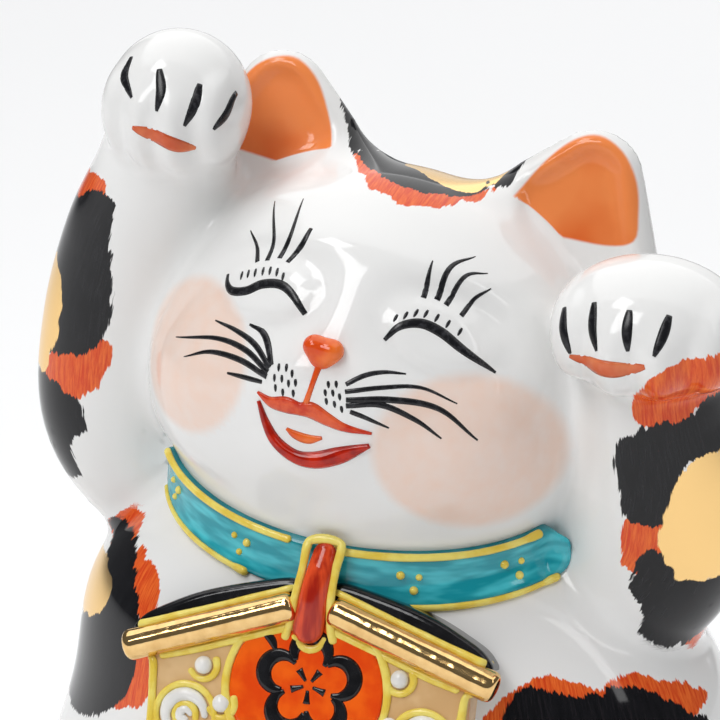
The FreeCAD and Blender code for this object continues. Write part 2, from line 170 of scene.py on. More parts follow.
def foot_recess(p):
    """The hollow inside the foot ring, and the dark space above the firing vent."""
    ring = (np.sqrt((p[..., 0] / 41.0) ** 2 + (p[..., 1] / 34.0) ** 2) - 1.0) * 36.0
    well = np.hypot(p[..., 0], p[..., 1]) - 12.0
    return np.minimum(np.maximum(ring, p[..., 2] - 6.3), np.maximum(well, p[..., 2] - 42.0))


def hind_foot(p, side):
    d = ellipsoid(p, (side * 23, -37, 9.5), (15, 17.5, 11))
    for step in (-1, 0, 1):
        toe = ellipsoid(p, (side * 23 + step * 8.2, -48 + abs(step) * 2.2, 8.5), (5.8, 7.5, 7.5))
        d = blend(d, toe, 1.6)
    return d


def paw(p, form):
    """A ball with four soft toes on the side that faces forward and down."""
    at, radii = np.array(form["at"], float), np.array(form["radii"], float)
    d = ellipsoid(p, at, radii)
    q = (p - at) @ turn((1, 0, 0), form["dip"])
    for i in range(4):
        x = (i - 1.5) * 0.44
        toe = np.array([x, -0.62 + 0.12 * abs(i - 1.5) ** 2, 0.10]) * radii
        d = blend(d, ellipsoid(q, toe, (0.27 * radii[0], 0.48 * radii[1], 0.6 * radii[2])), 2.0)
    return d


def rounded_polygon(x, z, corners, rounding):
    """Signed distance in a plane to a convex polygon, grown by its rounding."""
    best = np.full(x.shape, 1e9)
    inside = np.full(x.shape, -1e9)
    n = len(corners)
    for i in range(n):
        ax, az = corners[i]
        bx, bz = corners[(i + 1) % n]
        ex, ez = bx - ax, bz - az
        length = math.hypot(ex, ez)
        t = np.clip(((x - ax) * ex + (z - az) * ez) / length**2, 0.0, 1.0)
        best = np.minimum(best, np.hypot(x - ax - t * ex, z - az - t * ez))
        inside = np.maximum(inside, ((z - az) * ex - (x - ax) * ez) / length)
    return np.where(inside < 0, -np.minimum(best, -inside), best) - rounding


def ear(q, side):
    """In the head's frame: a rounded triangular plate with a dished front."""
    x, y, z = q[..., 0] * side, q[..., 1] - EAR_PLANE, q[..., 2]
    face = rounded_polygon(x, z, EAR_CORNERS, EAR_ROUND)
    thick = 7.2 - 0.16 * np.clip(z - 22, 0, 30)
    plate = carve(face, np.abs(y + 0.04 * (z - 20)) - thick, 6.5)
    dish = rounded_polygon(x, z, EAR_CORNERS, EAR_ROUND - 4.2)
    hollow = carve(dish, y + thick - 1.3, 3.0)
    return carve(plate, -hollow, 2.4)


def bump(x, z, at, radii, lean=0.0, power=2.0):
    """A rounded hill of height 1 on the face: power 2 is a bell, more gives it a flat top."""
    a = math.radians(lean)
    u = (x - at[0]) * math.cos(a) + (z - at[1]) * math.sin(a)
    v = (z - at[1]) * math.cos(a) - (x - at[0]) * math.sin(a)
    return np.exp(-((u / radii[0]) ** 2 + (v / radii[1]) ** 2) ** (power / 2))


def face_relief(q):
    """How far the face's modelling stands out of the plain head."""
    x, z = q[..., 0] - FACE_X, q[..., 2]
    front = np.clip((-q[..., 1] - 4.0) / 12.0, 0.0, 1.0)
    rise = 1.3 * bump(x, z, (-1.2, 4), (7.5, 7.5))               # bridge of the nose
    rise += 0.7 * bump(x, z, (0, 17), (9.0, 8.0))                # and up between the eyes
    for s in (-1, 1):
        rise -= 1.9 * bump(x, z, (s * 15.5, 13.0), (12.5, 7.2), s * -8, 3.0)   # eye socket
        rise += 2.2 * bump(x, z, (s * 15.8, 11.8), (9.2, 5.2), s * -14, 5.0)    # closed eye
        rise += 0.9 * bump(x, z, (s * 12.0, 21.5), (11.0, 3.2), s * -12)       # brow
        rise += 1.8 * bump(x, z, (s * 7.5, -1.0), (7.0, 6.0), s * -10, 2.4)    # muzzle
        rise += 1.6 * bump(x, z, (s * 26, -8), (11, 10))                        # cheek
    rise += 2.0 * bump(x, z, (-0.8, -11.5), (9.0, 7.0), 0, 3.0)  # chin and mouth
    rise -= 1.6 * bump(x, z, (-1.2, -9.0), (7.2, 3.6), -6, 3.0)  # the open mouth
    return rise * front


def skull(q):
    top = ellipsoid(q, (0, 1, 3), (39.0, 33.5, 30.5))
    low = ellipsoid(q, (0, -3, -9.5), (40.0, 30.5, 23.0))
    jaw = ellipsoid(q, (0, -2, -16), (37.0, 28.0, 17.0))
    return blend(blend(top, low, 10), jaw, 6)


def head(p):
    q = to_head(p)
    d = skull(q) - face_relief(q)
    return blend(d, np.minimum(ear(q, -1), ear(q, 1)), 8.0)


def skin(p):
    """Signed distance to the whole casting."""
    d = blend(torso(p), head(p), 10.0)
    arms = np.minimum(limb(p, RIGHT_ARM), limb(p, LEFT_ARM))
    d = blend(d, arms, 5.0)
    d = blend(d, np.minimum(paw(p, RIGHT_PAW), paw(p, LEFT_PAW)), 2.5)
    return blend(d, limb(p, TAIL), 2.5)


# ================================================================ painting coordinates
LIMB_R, TORSO_R = 15.0, 55.0  # radii that turn an angle round a limb or the torso into millimetres


def limb_coordinates(p, knots, side):
    """Millimetres round a limb from its front line, outward on the given side, and along it from its root."""
    path = smooth_path(knots, 12)
    lengths = np.concatenate([[0], np.cumsum(np.linalg.norm(np.diff(path[:, :3], axis=0), axis=1))])
    nearest = np.full(len(p), 1e9)
    index = np.zeros(len(p), int)
    for i, knot in enumerate(path):
        gap = np.linalg.norm(p - knot[:3], axis=1)
        index = np.where(gap < nearest, i, index)
        nearest = np.minimum(nearest, gap)
    tangent = np.gradient(path[:, :3], axis=0)
    tangent /= np.linalg.norm(tangent, axis=1, keepdims=True)
    front = np.array([0.0, -1.0, 0.0])
    front = front - (tangent @ front)[:, None] * tangent
    front /= np.linalg.norm(front, axis=1, keepdims=True)
    across = np.cross(tangent, front)
    across *= np.sign(across[:, :1] * side)
    q = p - path[index, :3]
    angle = np.arctan2((q * across[index]).sum(1), (q * front[index]).sum(1))
    return angle * LIMB_R, lengths[index] + (q * tangent[index]).sum(1)


def torso_coordinates(p):
    """Millimetres round the torso from its front line towards the cat's left, and height."""
    return np.arctan2(p[:, 0], -p[:, 1]) * TORSO_R, p[:, 2]


def polygon_depth(u, v, corners):
    """How far inside an outline each point lies, in millimetres; outside it is negative."""
    best = np.full(u.shape, 1e9)
    inside = np.zeros(u.shape, bool)
    for (au, av), (bu, bv) in zip(corners, corners[1:] + corners[:1]):
        eu, ev = bu - au, bv - av
        t = np.clip(((u - au) * eu + (v - av) * ev) / (eu * eu + ev * ev), 0.0, 1.0)
        best = np.minimum(best, np.hypot(u - au - t * eu, v - av - t * ev))
        crosses = (av > v) != (bv > v)
        inside ^= crosses & (u < au + (v - av) / np.where(ev == 0, 1e-9, ev) * eu)
    return np.where(inside, best, -best)


# ================================================================ from a distance field to a mesh
BLOCK = 8
FAR = -9.0  # the depth that means "no paint near here"
ON_SURFACE = 0.3  # a ray that ends farther than this from a surface has missed it


def slope(field, p, reach=0.05):
    found = np.empty_like(p)
    for axis in range(3):
        step = np.zeros(3)
        step[axis] = reach
        found[:, axis] = (field(p + step) - field(p - step)) / (2 * reach)
    return found


def normals_at(field, p):
    g = slope(field, p)
    return g / np.maximum(np.linalg.norm(g, axis=1, keepdims=True), 1e-9)


def settle(field, p, rounds=3):
    """Moves points onto the field's zero surface."""
    for _ in range(rounds):
        g = slope(field, p)
        move = -(field(p) / np.maximum((g * g).sum(1), 1e-4))[:, None] * g
        length = np.linalg.norm(move, axis=1, keepdims=True)
        p = p + move * np.minimum(1.0, 1.0 / np.maximum(length, 1e-9))
    return p


def cast(field, start, direction, rounds=60):
    """Where rays from outside first meet the field's surface."""
    direction = direction / np.linalg.norm(direction, axis=-1, keepdims=True)
    travel = np.zeros(len(start))
    for _ in range(rounds):
        travel += 0.85 * field(start + direction * travel[:, None])
    return start + direction * travel[:, None]


def net(field, low, high, step):
    """Vertices and quads of the field's zero surface inside a box (surface nets)."""
    low, high = np.asarray(low, float) - 3 * step, np.asarray(high, float) + 3 * step
    count = np.ceil((high - low) / step).astype(int) + 1
    corner = np.stack(np.meshgrid(*[np.arange(0, n, BLOCK) for n in count], indexing="ij"), -1).reshape(-1, 3)
    middle = field(low + (corner + BLOCK / 2) * step)
    corner = corner[np.abs(middle) < BLOCK * step * 1.3]
    offsets = np.stack(np.meshgrid(*[np.arange(BLOCK)] * 3, indexing="ij"), -1).reshape(-1, 3)
    index = (corner[:, None] + offsets).reshape(-1, 3)
    index = index[(index < count).all(axis=1)]
    values = np.full(count, np.nan)
    values[tuple(index.T)] = field(low + index * step)
    for axis in range(3):  # the box's own faces count as outside
        np.moveaxis(values, axis, 0)[[0, -1]] = step

    cells, points, faces = [], [], []
    for axis in range(3):
        a = np.take(values, range(count[axis] - 1), axis=axis)
        b = np.take(values, range(1, count[axis]), axis=axis)
        crossing = ((a < 0) != (b < 0)) & np.isfinite(a) & np.isfinite(b)
        edge = np.argwhere(crossing)
        start, end = a[crossing], b[crossing]
        point = edge.astype(float)
        point[:, axis] += start / (start - end)
        u, v = (axis + 1) % 3, (axis + 2) % 3
        ring = []
        for du, dv in ((0, 0), (-1, 0), (-1, -1), (0, -1)):
            cell = edge.copy()
            cell[:, u] += du
            cell[:, v] += dv
            ring.append(np.ravel_multi_index(cell.T, count))
        ring = np.stack(ring, axis=1)
        ring[start > 0] = ring[start > 0][:, ::-1]
        faces.append(ring)
        for k in range(4):
            cells.append(ring[:, k])
            points.append(point)
    cells, points = np.concatenate(cells), np.concatenate(points)
    ids, place = np.unique(cells, return_inverse=True)
    total = np.bincount(place)
    verts = np.stack([np.bincount(place, weights=points[:, k]) / total for k in range(3)], axis=1)
    quads = np.searchsorted(ids, np.concatenate(faces))
    return settle(field, low + verts * step), quads


def new_piece(name, verts, faces, normals=None):
    """A Blender mesh object from points in millimetres."""
    mesh = bpy.data.meshes.new(name)
    mesh.from_pydata((np.asarray(verts) * MM).tolist(), [], [list(map(int, f)) for f in faces])
    mesh.polygons.foreach_set("use_smooth", [True] * len(mesh.polygons))
    if normals is not None:
        mesh.normals_split_custom_set_from_vertices(np.asarray(normals).tolist())
    piece = bpy.data.objects.new(name, mesh)
    bpy.context.scene.collection.objects.link(piece)
    return piece


def store(piece, name, values):
    """Keeps a number, or three, with each vertex for the shader to read."""
    values = np.asarray(values, float)
    kind = "FLOAT_VECTOR" if values.ndim == 2 else "FLOAT"
    layer = piece.data.attributes.new(name, kind, "POINT")
    layer.data.foreach_set("vector" if values.ndim == 2 else "value", values.ravel())


def finish_piece(piece, material, slot, *nodes):
    piece.data.materials.append(material)
    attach(piece, "root")
    if nodes:
        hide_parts(*nodes)
    return piece


def sculpted(name, field, low, high, step, material, slot, *nodes):
    """A closed piece meshed from its own distance field."""
    verts, quads = net(field, low, high, step)
    piece = new_piece(name, verts, quads, normals_at(field, verts))
    return finish_piece(piece, material, slot, *nodes)


def node_box(node, margin=2.0):
    low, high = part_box(node)
    return np.array(low) / MM - margin, np.array(high) / MM + margin


# ================================================================ brush lines and trailed enamel
def stroke(line, start, middle, end, spacing=0.4):
    """A smooth brush stroke through its knots: points at about even spacing, and their widths."""
    knots = np.asarray(line, float)
    steps = max(2, int(np.linalg.norm(np.diff(knots, axis=0), axis=1).mean() / spacing) + 1)
    path = smooth_path(knots, steps)
    t = np.linspace(0, 1, len(path))
    widths = start * (2 * t - 1) * (t - 1) + middle * 4 * t * (1 - t) + end * t * (2 * t - 1)
    return path, np.maximum(widths, 0.12)


def frames(points, normals):
    tangent = np.gradient(points, axis=0)
    tangent /= np.maximum(np.linalg.norm(tangent, axis=1, keepdims=True), 1e-9)
    side = np.cross(normals, tangent)
    side /= np.maximum(np.linalg.norm(side, axis=1, keepdims=True), 1e-9)
    return tangent, side


def tube_faces(rows, ring, first):
    """Quads between rings of vertices, and a fan that closes each end."""
    faces = []
    for i in range(rows - 1):
        for k in range(ring):
            a, b = first + i * ring + k, first + i * ring + (k + 1) % ring
            faces.append((a, b, b + ring, a + ring))
    faces.append(tuple(first + k for k in reversed(range(ring))))
    faces.append(tuple(first + (rows - 1) * ring + k for k in range(ring)))
    return faces


RIBBON = np.array([(1.0, 0.0), (0.6, 0.8), (0.0, 1.0), (-0.6, 0.8), (-1.0, 0.0), (0.0, -0.3)])


def ribbons(name, field, lines, height, material, slot, *nodes):
    """Brush lines on a surface: each line is (points on it, widths), drawn as a thin closed lens."""
    verts, rise, faces, first = [], [], [], 0
    for points, widths in lines:
        _, side = frames(points, normals_at(field, points))
        across = side[:, None] * (RIBBON[:, 0, None] * widths[:, None, None] / 2)
        verts.append((points[:, None] + across).reshape(-1, 3))
        rise.append((np.clip(widths / 0.6, 0.5, 1.0)[:, None] * RIBBON[:, 1] * height).ravel())
        faces += tube_faces(len(points), len(RIBBON), first)
        first += len(points) * len(RIBBON)
    flat = settle(field, np.concatenate(verts), 2)
    flat = flat + normals_at(field, flat) * np.concatenate(rise)[:, None]
    return finish_piece(new_piece(name, flat, faces), material, slot, *nodes)


TRAIL_RING = 12  # vertices round a bead
TRAIL_FLAT = 0.8  # its height over its width


def trail_mesh(points, radii, normals, seed):
    """A bead of enamel along a line, rounded at both ends, with the slight wobble of a hand-held trailer."""
    chance = np.random.default_rng(seed)
    wobble = np.convolve(chance.normal(0, 0.05, len(points) + 8), np.ones(9) / 3.0, "valid")
    radii = radii * (1.0 + wobble[: len(points)])
    tangent, side = frames(points, normals)
    cap = np.array([0.0, 0.3, 0.6, 0.85, 1.0])
    rings = [(0, radii[0] * math.sqrt(1 - (1 - c) ** 2) + 0.01, -radii[0] * (1 - c)) for c in cap[:-1]]
    rings += [(i, radius, 0.0) for i, radius in enumerate(radii)]
    rings += [(-1, radii[-1] * math.sqrt(1 - (1 - c) ** 2) + 0.01, radii[-1] * (1 - c)) for c in cap[-2::-1]]
    rows, sizes, shift = (np.array(values) for values in zip(*rings))
    angle = np.arange(TRAIL_RING) * 2 * math.pi / TRAIL_RING
    centre = points[rows] + tangent[rows] * shift[:, None]
    verts = (centre[:, None]
             + side[rows][:, None] * (np.cos(angle)[None, :, None] * sizes[:, None, None])
             + normals[rows][:, None] * (np.sin(angle)[None, :, None] * sizes[:, None, None] * TRAIL_FLAT))
    return verts.reshape(-1, 3), len(rows)


def trails(name, lines, material, slot, *nodes):
    """Trailed enamel: each line is (points, radii, normals)."""
    verts, faces, first = [], [], 0
    for seed, (points, radii, normals) in enumerate(lines):
        rings, rows = trail_mesh(points, radii, normals, seed + len(name))
        verts.append(rings)
        faces += tube_faces(rows, TRAIL_RING, first)
        first += len(rings)
    piece = new_piece(name, np.concatenate(verts), faces)
    return finish_piece(piece, material, slot, *nodes)


# ================================================================ materials
PORCELAIN = (0.83, 0.828, 0.818, 1)
ORANGE, ORANGE_PALE = (0.66, 0.045, 0.001, 1), (0.86, 0.16, 0.012, 1)
BLACK, BLACK_THIN = (0.003, 0.003, 0.004, 1), (0.012, 0.012, 0.015, 1)
GOLD = (0.93, 0.62, 0.26, 1)
PEACH = (0.90, 0.50, 0.31, 1)
EAR_ORANGE, EAR_DEEP = (0.88, 0.26, 0.075, 1), (0.72, 0.11, 0.015, 1)
BISCUIT = (0.62, 0.56, 0.47, 1)


def add(tree, kind, inputs=None, **settings):
    """A shader node; an input given as a socket is linked, anything else is set."""
    node = tree.nodes.new(kind)
    for key, value in settings.items():
        setattr(node, key, value)
    for key, value in (inputs or {}).items():
        if isinstance(value, bpy.types.NodeSocket):
            tree.links.new(value, node.inputs[key])
        else:
            node.inputs[key].default_value = value
    return node


def new_material(name, **constants):
    material = bpy.data.materials.new(name)
    material.use_nodes = True
    tree = material.node_tree
    shader = next(n for n in tree.nodes if n.type == "BSDF_PRINCIPLED")
    for key, value in constants.items():
        shader.inputs[key.replace("_", " ")].default_value = value
    return material, tree, shader


def mix(tree, factor, a, b):
    node = add(tree, "ShaderNodeMix", {0: factor, 6: a, 7: b}, data_type="RGBA")
    return node.outputs[2]


def maths(tree, operation, a, b=0.0, clamp=False):
    return add(tree, "ShaderNodeMath", {0: a, 1: b}, operation=operation, use_clamp=clamp).outputs[0]


def step_up(tree, value, low, high):
    """0 below low, 1 above high, and a smooth rise between them."""
    inputs = {"Value": value, "From Min": low, "From Max": high, "To Min": 0.0, "To Max": 1.0}
    return add(tree, "ShaderNodeMapRange", inputs, interpolation_type="SMOOTHSTEP").outputs[0]


def attribute(tree, name, output="Fac"):
    return add(tree, "ShaderNodeAttribute", attribute_name=name).outputs[output]


def noise(tree, vector, scale, detail=2.0, rough=0.5, shift=(0, 0, 0), stretch=(1, 1, 1)):
    moved = add(tree, "ShaderNodeMapping", {"Vector": vector, "Location": shift, "Scale": stretch})
    inputs = {"Vector": moved.outputs[0], "Scale": scale, "Detail": detail, "Roughness": rough}
    return add(tree, "ShaderNodeTexNoise", inputs).outputs[0]


def glaze_ripple(tree, shader, size=110.0, depth=0.00012):
    """The slight unevenness of a poured glaze."""
    place = add(tree, "ShaderNodeTexCoord").outputs["Object"]
    height = noise(tree, place, size, 1.0)
    bump = add(tree, "ShaderNodeBump", {"Height": height, "Strength": 0.35, "Distance": depth})
    tree.links.new(bump.outputs[0], shader.inputs["Normal"])


def brushed(tree, depth, grain, reach, shift):
    """A painted patch's cover: its outline is pulled out and in along the brush's hairs."""
    hairs = noise(tree, grain, 1.0, 3.0, 0.65, shift, (1.5, 0.11, 1))
    sweep = noise(tree, grain, 1.0, 1.0, 0.5, shift, (0.28, 0.16, 1))
    pull = maths(tree, "MULTIPLY", maths(tree, "SUBTRACT", hairs, 0.5), reach * 2.0)
    pull = maths(tree, "ADD", pull, maths(tree, "MULTIPLY", maths(tree, "SUBTRACT", sweep, 0.5), 3.0))
    return step_up(tree, maths(tree, "ADD", depth, pull), -0.12, 0.16)


def make_porcelain():
    """White glaze with the blush, the ears' wash and the three patch colours over it."""
    material, tree, shader = new_material("porcelain", Specular_IOR_Level=0.36)
    grain = attribute(tree, "grain", "Vector")
    hairs = noise(tree, grain, 1.0, 4.0, 0.7, (7, 3, 1), (2.2, 0.16, 1))
    place = add(tree, "ShaderNodeTexCoord").outputs["Object"]

    blush_cloud = maths(tree, "ADD", maths(tree, "MULTIPLY", noise(tree, place, 300.0, 2.0), 0.3), 0.30)
    blush = maths(tree, "MULTIPLY", attribute(tree, "blush"), blush_cloud)
    color = mix(tree, blush, PORCELAIN, PEACH)

    ear_cover = step_up(tree, attribute(tree, "ear"), -0.1, 0.5)
    washes = maths(tree, "SUBTRACT", noise(tree, place, 75.0, 2.0, 0.5, (0.3, 0, 0)), 0.5)
    deep = maths(tree, "MULTIPLY", attribute(tree, "ear_deep"), 0.6)
    wash = maths(tree, "ADD", deep, maths(tree, "MULTIPLY", washes, 2.2), True)
    ear_shade = mix(tree, wash, EAR_ORANGE, EAR_DEEP)
    color = mix(tree, ear_cover, color, ear_shade)

    orange = brushed(tree, attribute(tree, "orange"), grain, 1.1, (0, 0, 0))
    orange_shade = mix(tree, step_up(tree, hairs, 0.35, 0.7), ORANGE, ORANGE_PALE)
    thin = maths(tree, "MULTIPLY", orange, maths(tree, "SUBTRACT", 1.0, maths(tree, "MULTIPLY", hairs, 0.03)))
    color = mix(tree, thin, color, orange_shade)

    black = brushed(tree, attribute(tree, "black"), grain, 1.5, (11, 5, 0))
    black_shade = mix(tree, step_up(tree, hairs, 0.3, 0.8), BLACK, BLACK_THIN)
    worn = maths(tree, "SUBTRACT", 1.01, maths(tree, "MULTIPLY", hairs, 0.02))
    thin = maths(tree, "MULTIPLY", black, worn, True)
    color = mix(tree, thin, color, black_shade)

    gold = brushed(tree, attribute(tree, "gold"), grain, 0.7, (23, 9, 0))
    color = mix(tree, gold, color, GOLD)

    bare = attribute(tree, "biscuit")
    color = mix(tree, bare, color, BISCUIT)
    tree.links.new(color, shader.inputs["Base Color"])
    tree.links.new(gold, shader.inputs["Metallic"])
    rough = maths(tree, "ADD", 0.07, maths(tree, "MULTIPLY", gold, 0.15))
    rough = maths(tree, "ADD", rough, maths(tree, "MULTIPLY", bare, 0.6), True)
    tree.links.new(rough, shader.inputs["Roughness"])
    glaze_ripple(tree, shader, 60.0, 0.00015)
    return material


def make_enamel(name, light, dark, rough=0.1, size=220.0, stretch=(1, 1, 1), contrast=(0.35, 0.65)):
    """A glossy enamel whose colour clouds between two shades."""
    material, tree, shader = new_material(name, Roughness=rough, Specular_IOR_Level=0.4)
    place = add(tree, "ShaderNodeTexCoord").outputs["Object"]
    cloud = step_up(tree, noise(tree, place, size, 3.0, 0.55, (0, 0, 0), stretch), *contrast)
    tree.links.new(mix(tree, cloud, light, dark), shader.inputs["Base Color"])
    glaze_ripple(tree, shader, 300.0, 0.0001)
    return material


def make_teal():
    """Translucent enamel that pools darker along the strap's edges and in the brush's tracks."""
    material, tree, shader = new_material("teal_enamel", Roughness=0.08)
    run = attribute(tree, "run", "Vector")
    tracks = noise(tree, run, 1.0, 2.0, 0.5, (0, 0, 0), (0.10, 0.5, 1))
    color = mix(tree, step_up(tree, tracks, 0.32, 0.62), (0.07, 0.56, 0.64, 1), (0.005, 0.30, 0.37, 1))
    color = mix(tree, attribute(tree, "edge"), color, (0.0, 0.12, 0.15, 1))
    tree.links.new(color, shader.inputs["Base Color"])
    glaze_ripple(tree, shader, 260.0, 0.00012)
    return material


def make_gold():
    material, tree, shader = new_material("bright_gold", Metallic=1.0)
    place = add(tree, "ShaderNodeTexCoord").outputs["Object"]
    cloud = noise(tree, place, 500.0, 3.0)
    tree.links.new(mix(tree, cloud, (1.0, 0.72, 0.34, 1), (0.66, 0.38, 0.13, 1)), shader.inputs["Base Color"])
    tree.links.new(maths(tree, "ADD", 0.04, maths(tree, "MULTIPLY", cloud, 0.12)), shader.inputs["Roughness"])
    glaze_ripple(tree, shader, 420.0, 0.00018)
    return material


def make_biscuit():
    material, tree, shader = new_material("biscuit", Roughness=0.75)
    place = add(tree, "ShaderNodeTexCoord").outputs["Object"]
    specks = step_up(tree, noise(tree, place, 900.0, 3.0), 0.6, 0.75)
    tree.links.new(mix(tree, specks, BISCUIT, (0.45, 0.39, 0.31, 1)), shader.inputs["Base Color"])
    height = noise(tree, place, 1500.0, 3.0)
    bump = add(tree, "ShaderNodeBump", {"Height": height, "Strength": 0.5, "Distance": 0.0002})
    tree.links.new(bump.outputs[0], shader.inputs["Normal"])
    return material


porcelain = make_porcelain()
biscuit = make_biscuit()
teal = make_teal()
bright_gold = make_gold()
yellow = make_enamel("yellow_enamel", (0.88, 0.74, 0.17, 1), (0.80, 0.58, 0.07, 1), 0.16)
red = make_enamel("red_enamel", (0.80, 0.085, 0.02, 1), (0.36, 0.013, 0.004, 1), 0.07, 420.0, (1, 1, 0.12))
black = make_enamel("black_enamel", (0.004, 0.004, 0.005, 1), (0.012, 0.012, 0.014, 1), 0.08)
line_black = make_enamel("line_black", (0.006, 0.006, 0.008, 1), (0.04, 0.04, 0.045, 1), 0.25, 900.0,
                         contrast=(0.45, 0.8))
white = make_enamel("white_enamel", (0.84, 0.83, 0.80, 1), (0.74, 0.73, 0.70, 1), 0.12)
board_glaze = make_enamel("board_glaze", (0.76, 0.52, 0.27, 1), (0.66, 0.41, 0.19, 1), 0.1, 130.0)
sun_enamel = make_enamel("sun_enamel", (0.93, 0.13, 0.006, 1), (0.80, 0.065, 0.003, 1), 0.1, 160.0)
nose_enamel = make_enamel("nose_enamel", (0.86, 0.17, 0.025, 1), (0.70, 0.07, 0.008, 1), 0.08, 180.0)
lip_enamel = make_enamel("lip_enamel", (0.56, 0.018, 0.001, 1), (0.30, 0.005, 0.001, 1), 0.08, 260.0)
upper_lip = make_enamel("upper_lip_enamel", (0.76, 0.11, 0.03, 1), (0.58, 0.03, 0.006, 1), 0.1, 320.0)
pad_enamel = make_enamel("pad_enamel", (0.74, 0.20, 0.075, 1), (0.60, 0.09, 0.025, 1), 0.1, 150.0)


# ================================================================ the painted castings
# hand-painted patches, as outlines: millimetres round the limb or body, and along it or up it
CLUSTER = {
    "orange": [[(-2, 27), (4, 33), (12, 34), (18, 30), (14, 22), (2, 20)],
               [(-14, 8), (-9, 14), (-2, 12), (-3, 0), (-12, -1)]],
    "black": [[(-10, 12), (-5, 24), (6, 28), (18, 26), (24, 14), (22, 0), (12, -8), (0, -9), (-7, -2),
               (-3, 6)]],
    "gold": [[(2, 12), (6, 18), (14, 18), (18, 11), (13, 4), (5, 4)]],
}
PATCHES = {
    "right_arm": {
        "orange": [
            [(17, 57), (22, 66), (15, 70), (9, 73), (6, 69), (8, 63), (12, 58)],
            [(13, 31), (9, 37), (-1, 43), (-3, 38), (0, 32), (6, 28), (12, 28)],
            [(28, 40), (27, 52), (31, 60), (37, 56), (36, 42)],
        ],
        "black": [
            [(24, 62), (15, 64), (9, 70), (3, 70), (1, 63), (-2, 50), (-1, 43), (4, 38), (12, 36), (15, 40),
             (14, 47), (22, 55)],
            [(30, 30), (12, 31), (6, 31), (2, 28), (3, 23), (7, 21), (8, 16), (16, 15), (26, 20)],
        ],
        "gold": [[(11, 50), (9, 44), (10, 36), (13, 31), (24, 33), (27, 45), (20, 51)]],
    },
    "left_arm": {
        "orange": [
            [(-1, 58), (0, 66), (3, 71), (8, 73), (16, 72), (22, 66), (22, 57), (12, 58), (6, 55)],
            [(-4, 36), (-2, 40), (4, 41), (4, 31), (2, 27), (-2, 28)],
            [(16, 22), (24, 24), (24, 16), (18, 14)],
        ],
        "black": [
            [(-6, 50), (-4, 54), (1, 57), (8, 57), (14, 59), (24, 58), (26, 48), (14, 48), (8, 49), (5, 45),
             (3, 39), (-3, 38), (-5, 44)],
            [(0, 32), (5, 32), (10, 28), (24, 31), (26, 20), (16, 15), (8, 15), (4, 20), (0, 25)],
        ],
        "gold": [[(6, 48), (14, 49), (24, 46), (26, 32), (14, 28), (7, 28), (3, 32), (3, 40)]],
    },
    "torso": {
        "orange": [
            [(-80, 93), (-72, 94), (-63, 91), (-58, 87), (-66, 86), (-78, 88)],
            [(-57, 89), (-52, 88), (-44, 85), (-42, 80), (-45, 77), (-52, 82)],
            [(-45, 74), (-38, 70), (-39, 65), (-45, 61), (-52, 60), (-48, 66)],
            [(38, 66), (44, 75), (52, 78), (60, 76), (66, 78), (80, 72), (60, 66)],
        ],
        "black": [
            [(-84, 90), (-64, 90), (-54, 86), (-47, 79), (-44, 72), (-46, 63), (-54, 57), (-66, 55),
             (-80, 58), (-84, 66), (-68, 74), (-64, 80), (-70, 86)],
            [(42, 69), (46, 76), (56, 75), (66, 76), (78, 68), (92, 60), (88, 50), (70, 48), (55, 52),
             (46, 60)],
        ],
        "gold": [
            [(-78, 84), (-62, 83), (-58, 79), (-62, 74), (-72, 73), (-80, 77)],
            [(60, 62), (76, 62), (76, 52), (62, 52)],
        ],
    },
    "head": {
        "orange": [[(-15, 5), (-12, -2), (-6, -12), (0, -15), (6, -14), (10, -8), (14, 1), (8, -4), (2, -9),
                    (-6, -6)]],
        "black": [[(-19, 8), (-15, 2), (-8, -5), (0, -10), (7, -8), (13, -1), (17, 6), (12, 15), (-10, 15)]],
        "gold": [[(-4, 4), (2, -3), (8, -5), (13, 2), (14, 12), (0, 13)]],
    },
    "tail": {
        "orange": [[(-60, 26), (60, 26), (60, 40), (-60, 40)]],
        "black": [[(-60, 38), (60, 38), (60, 70), (-60, 70)]],
        "gold": [[(-60, 35), (60, 35), (60, 39), (-60, 39)]],
    },
}
# where copies of the cluster sit on the torso's sides and back
BACK_CLUSTERS = [(-118, 30, 1.0), (112, 22, 1.05), (-140, 70, 0.8), (130, 66, 0.7)]
BLUSH = [((-27.0, -4.0), (12.5, 14.0)), ((24.5, -7.0), (15.8, 14.6))]
EAR_PAINT = [(16, 28), (18, 35.5), (22, 42.5), (26, 46.2), (30, 47.0), (34.5, 44.8), (37.6, 40.5), (39.4, 35),
             (39.8, 30.5), (35, 28.3), (26, 28)]
PAINTS = ("orange", "black", "gold")


def rounded(corners):
    """A closed outline with its corners smoothed."""
    steps = 4
    n = len(corners)
    path = smooth_path(corners[-2:] + corners + corners[:2], steps)
    return [tuple(p) for p in path[2 * steps: (2 + n) * steps]]


for u, v, size in BACK_CLUSTERS:
    for paint in PAINTS:
        for outline in CLUSTER[paint]:
            PATCHES["torso"][paint].append([(u + size * a, v + size * b) for a, b in outline])


def casting_fields(p):
    """Distance to each casting by itself, in the order of CASTINGS."""
    q = to_head(p)
    return np.stack([
        torso(p),
        skull(q) - face_relief(q),
        ear(q, -1),
        ear(q, 1),
        np.minimum(limb(p, RIGHT_ARM), paw(p, RIGHT_PAW)),
        np.minimum(limb(p, LEFT_ARM), paw(p, LEFT_PAW)),
        limb(p, TAIL),
    ])


# piece, the CAD node that it stands for, and the thickness of its wall
CASTINGS = [
    ("torso", "torso_casting", 4.0),
    ("head", "head_casting", 4.0),
    ("right_ear", "right_ear", 2.2),
    ("left_ear", "left_ear", 2.2),
    ("right_arm", "right_arm_casting", 4.0),
    ("left_arm", "left_arm_casting", 4.0),
    ("tail", "tail", 2.5),
]
SKIN_STEP = 1.0


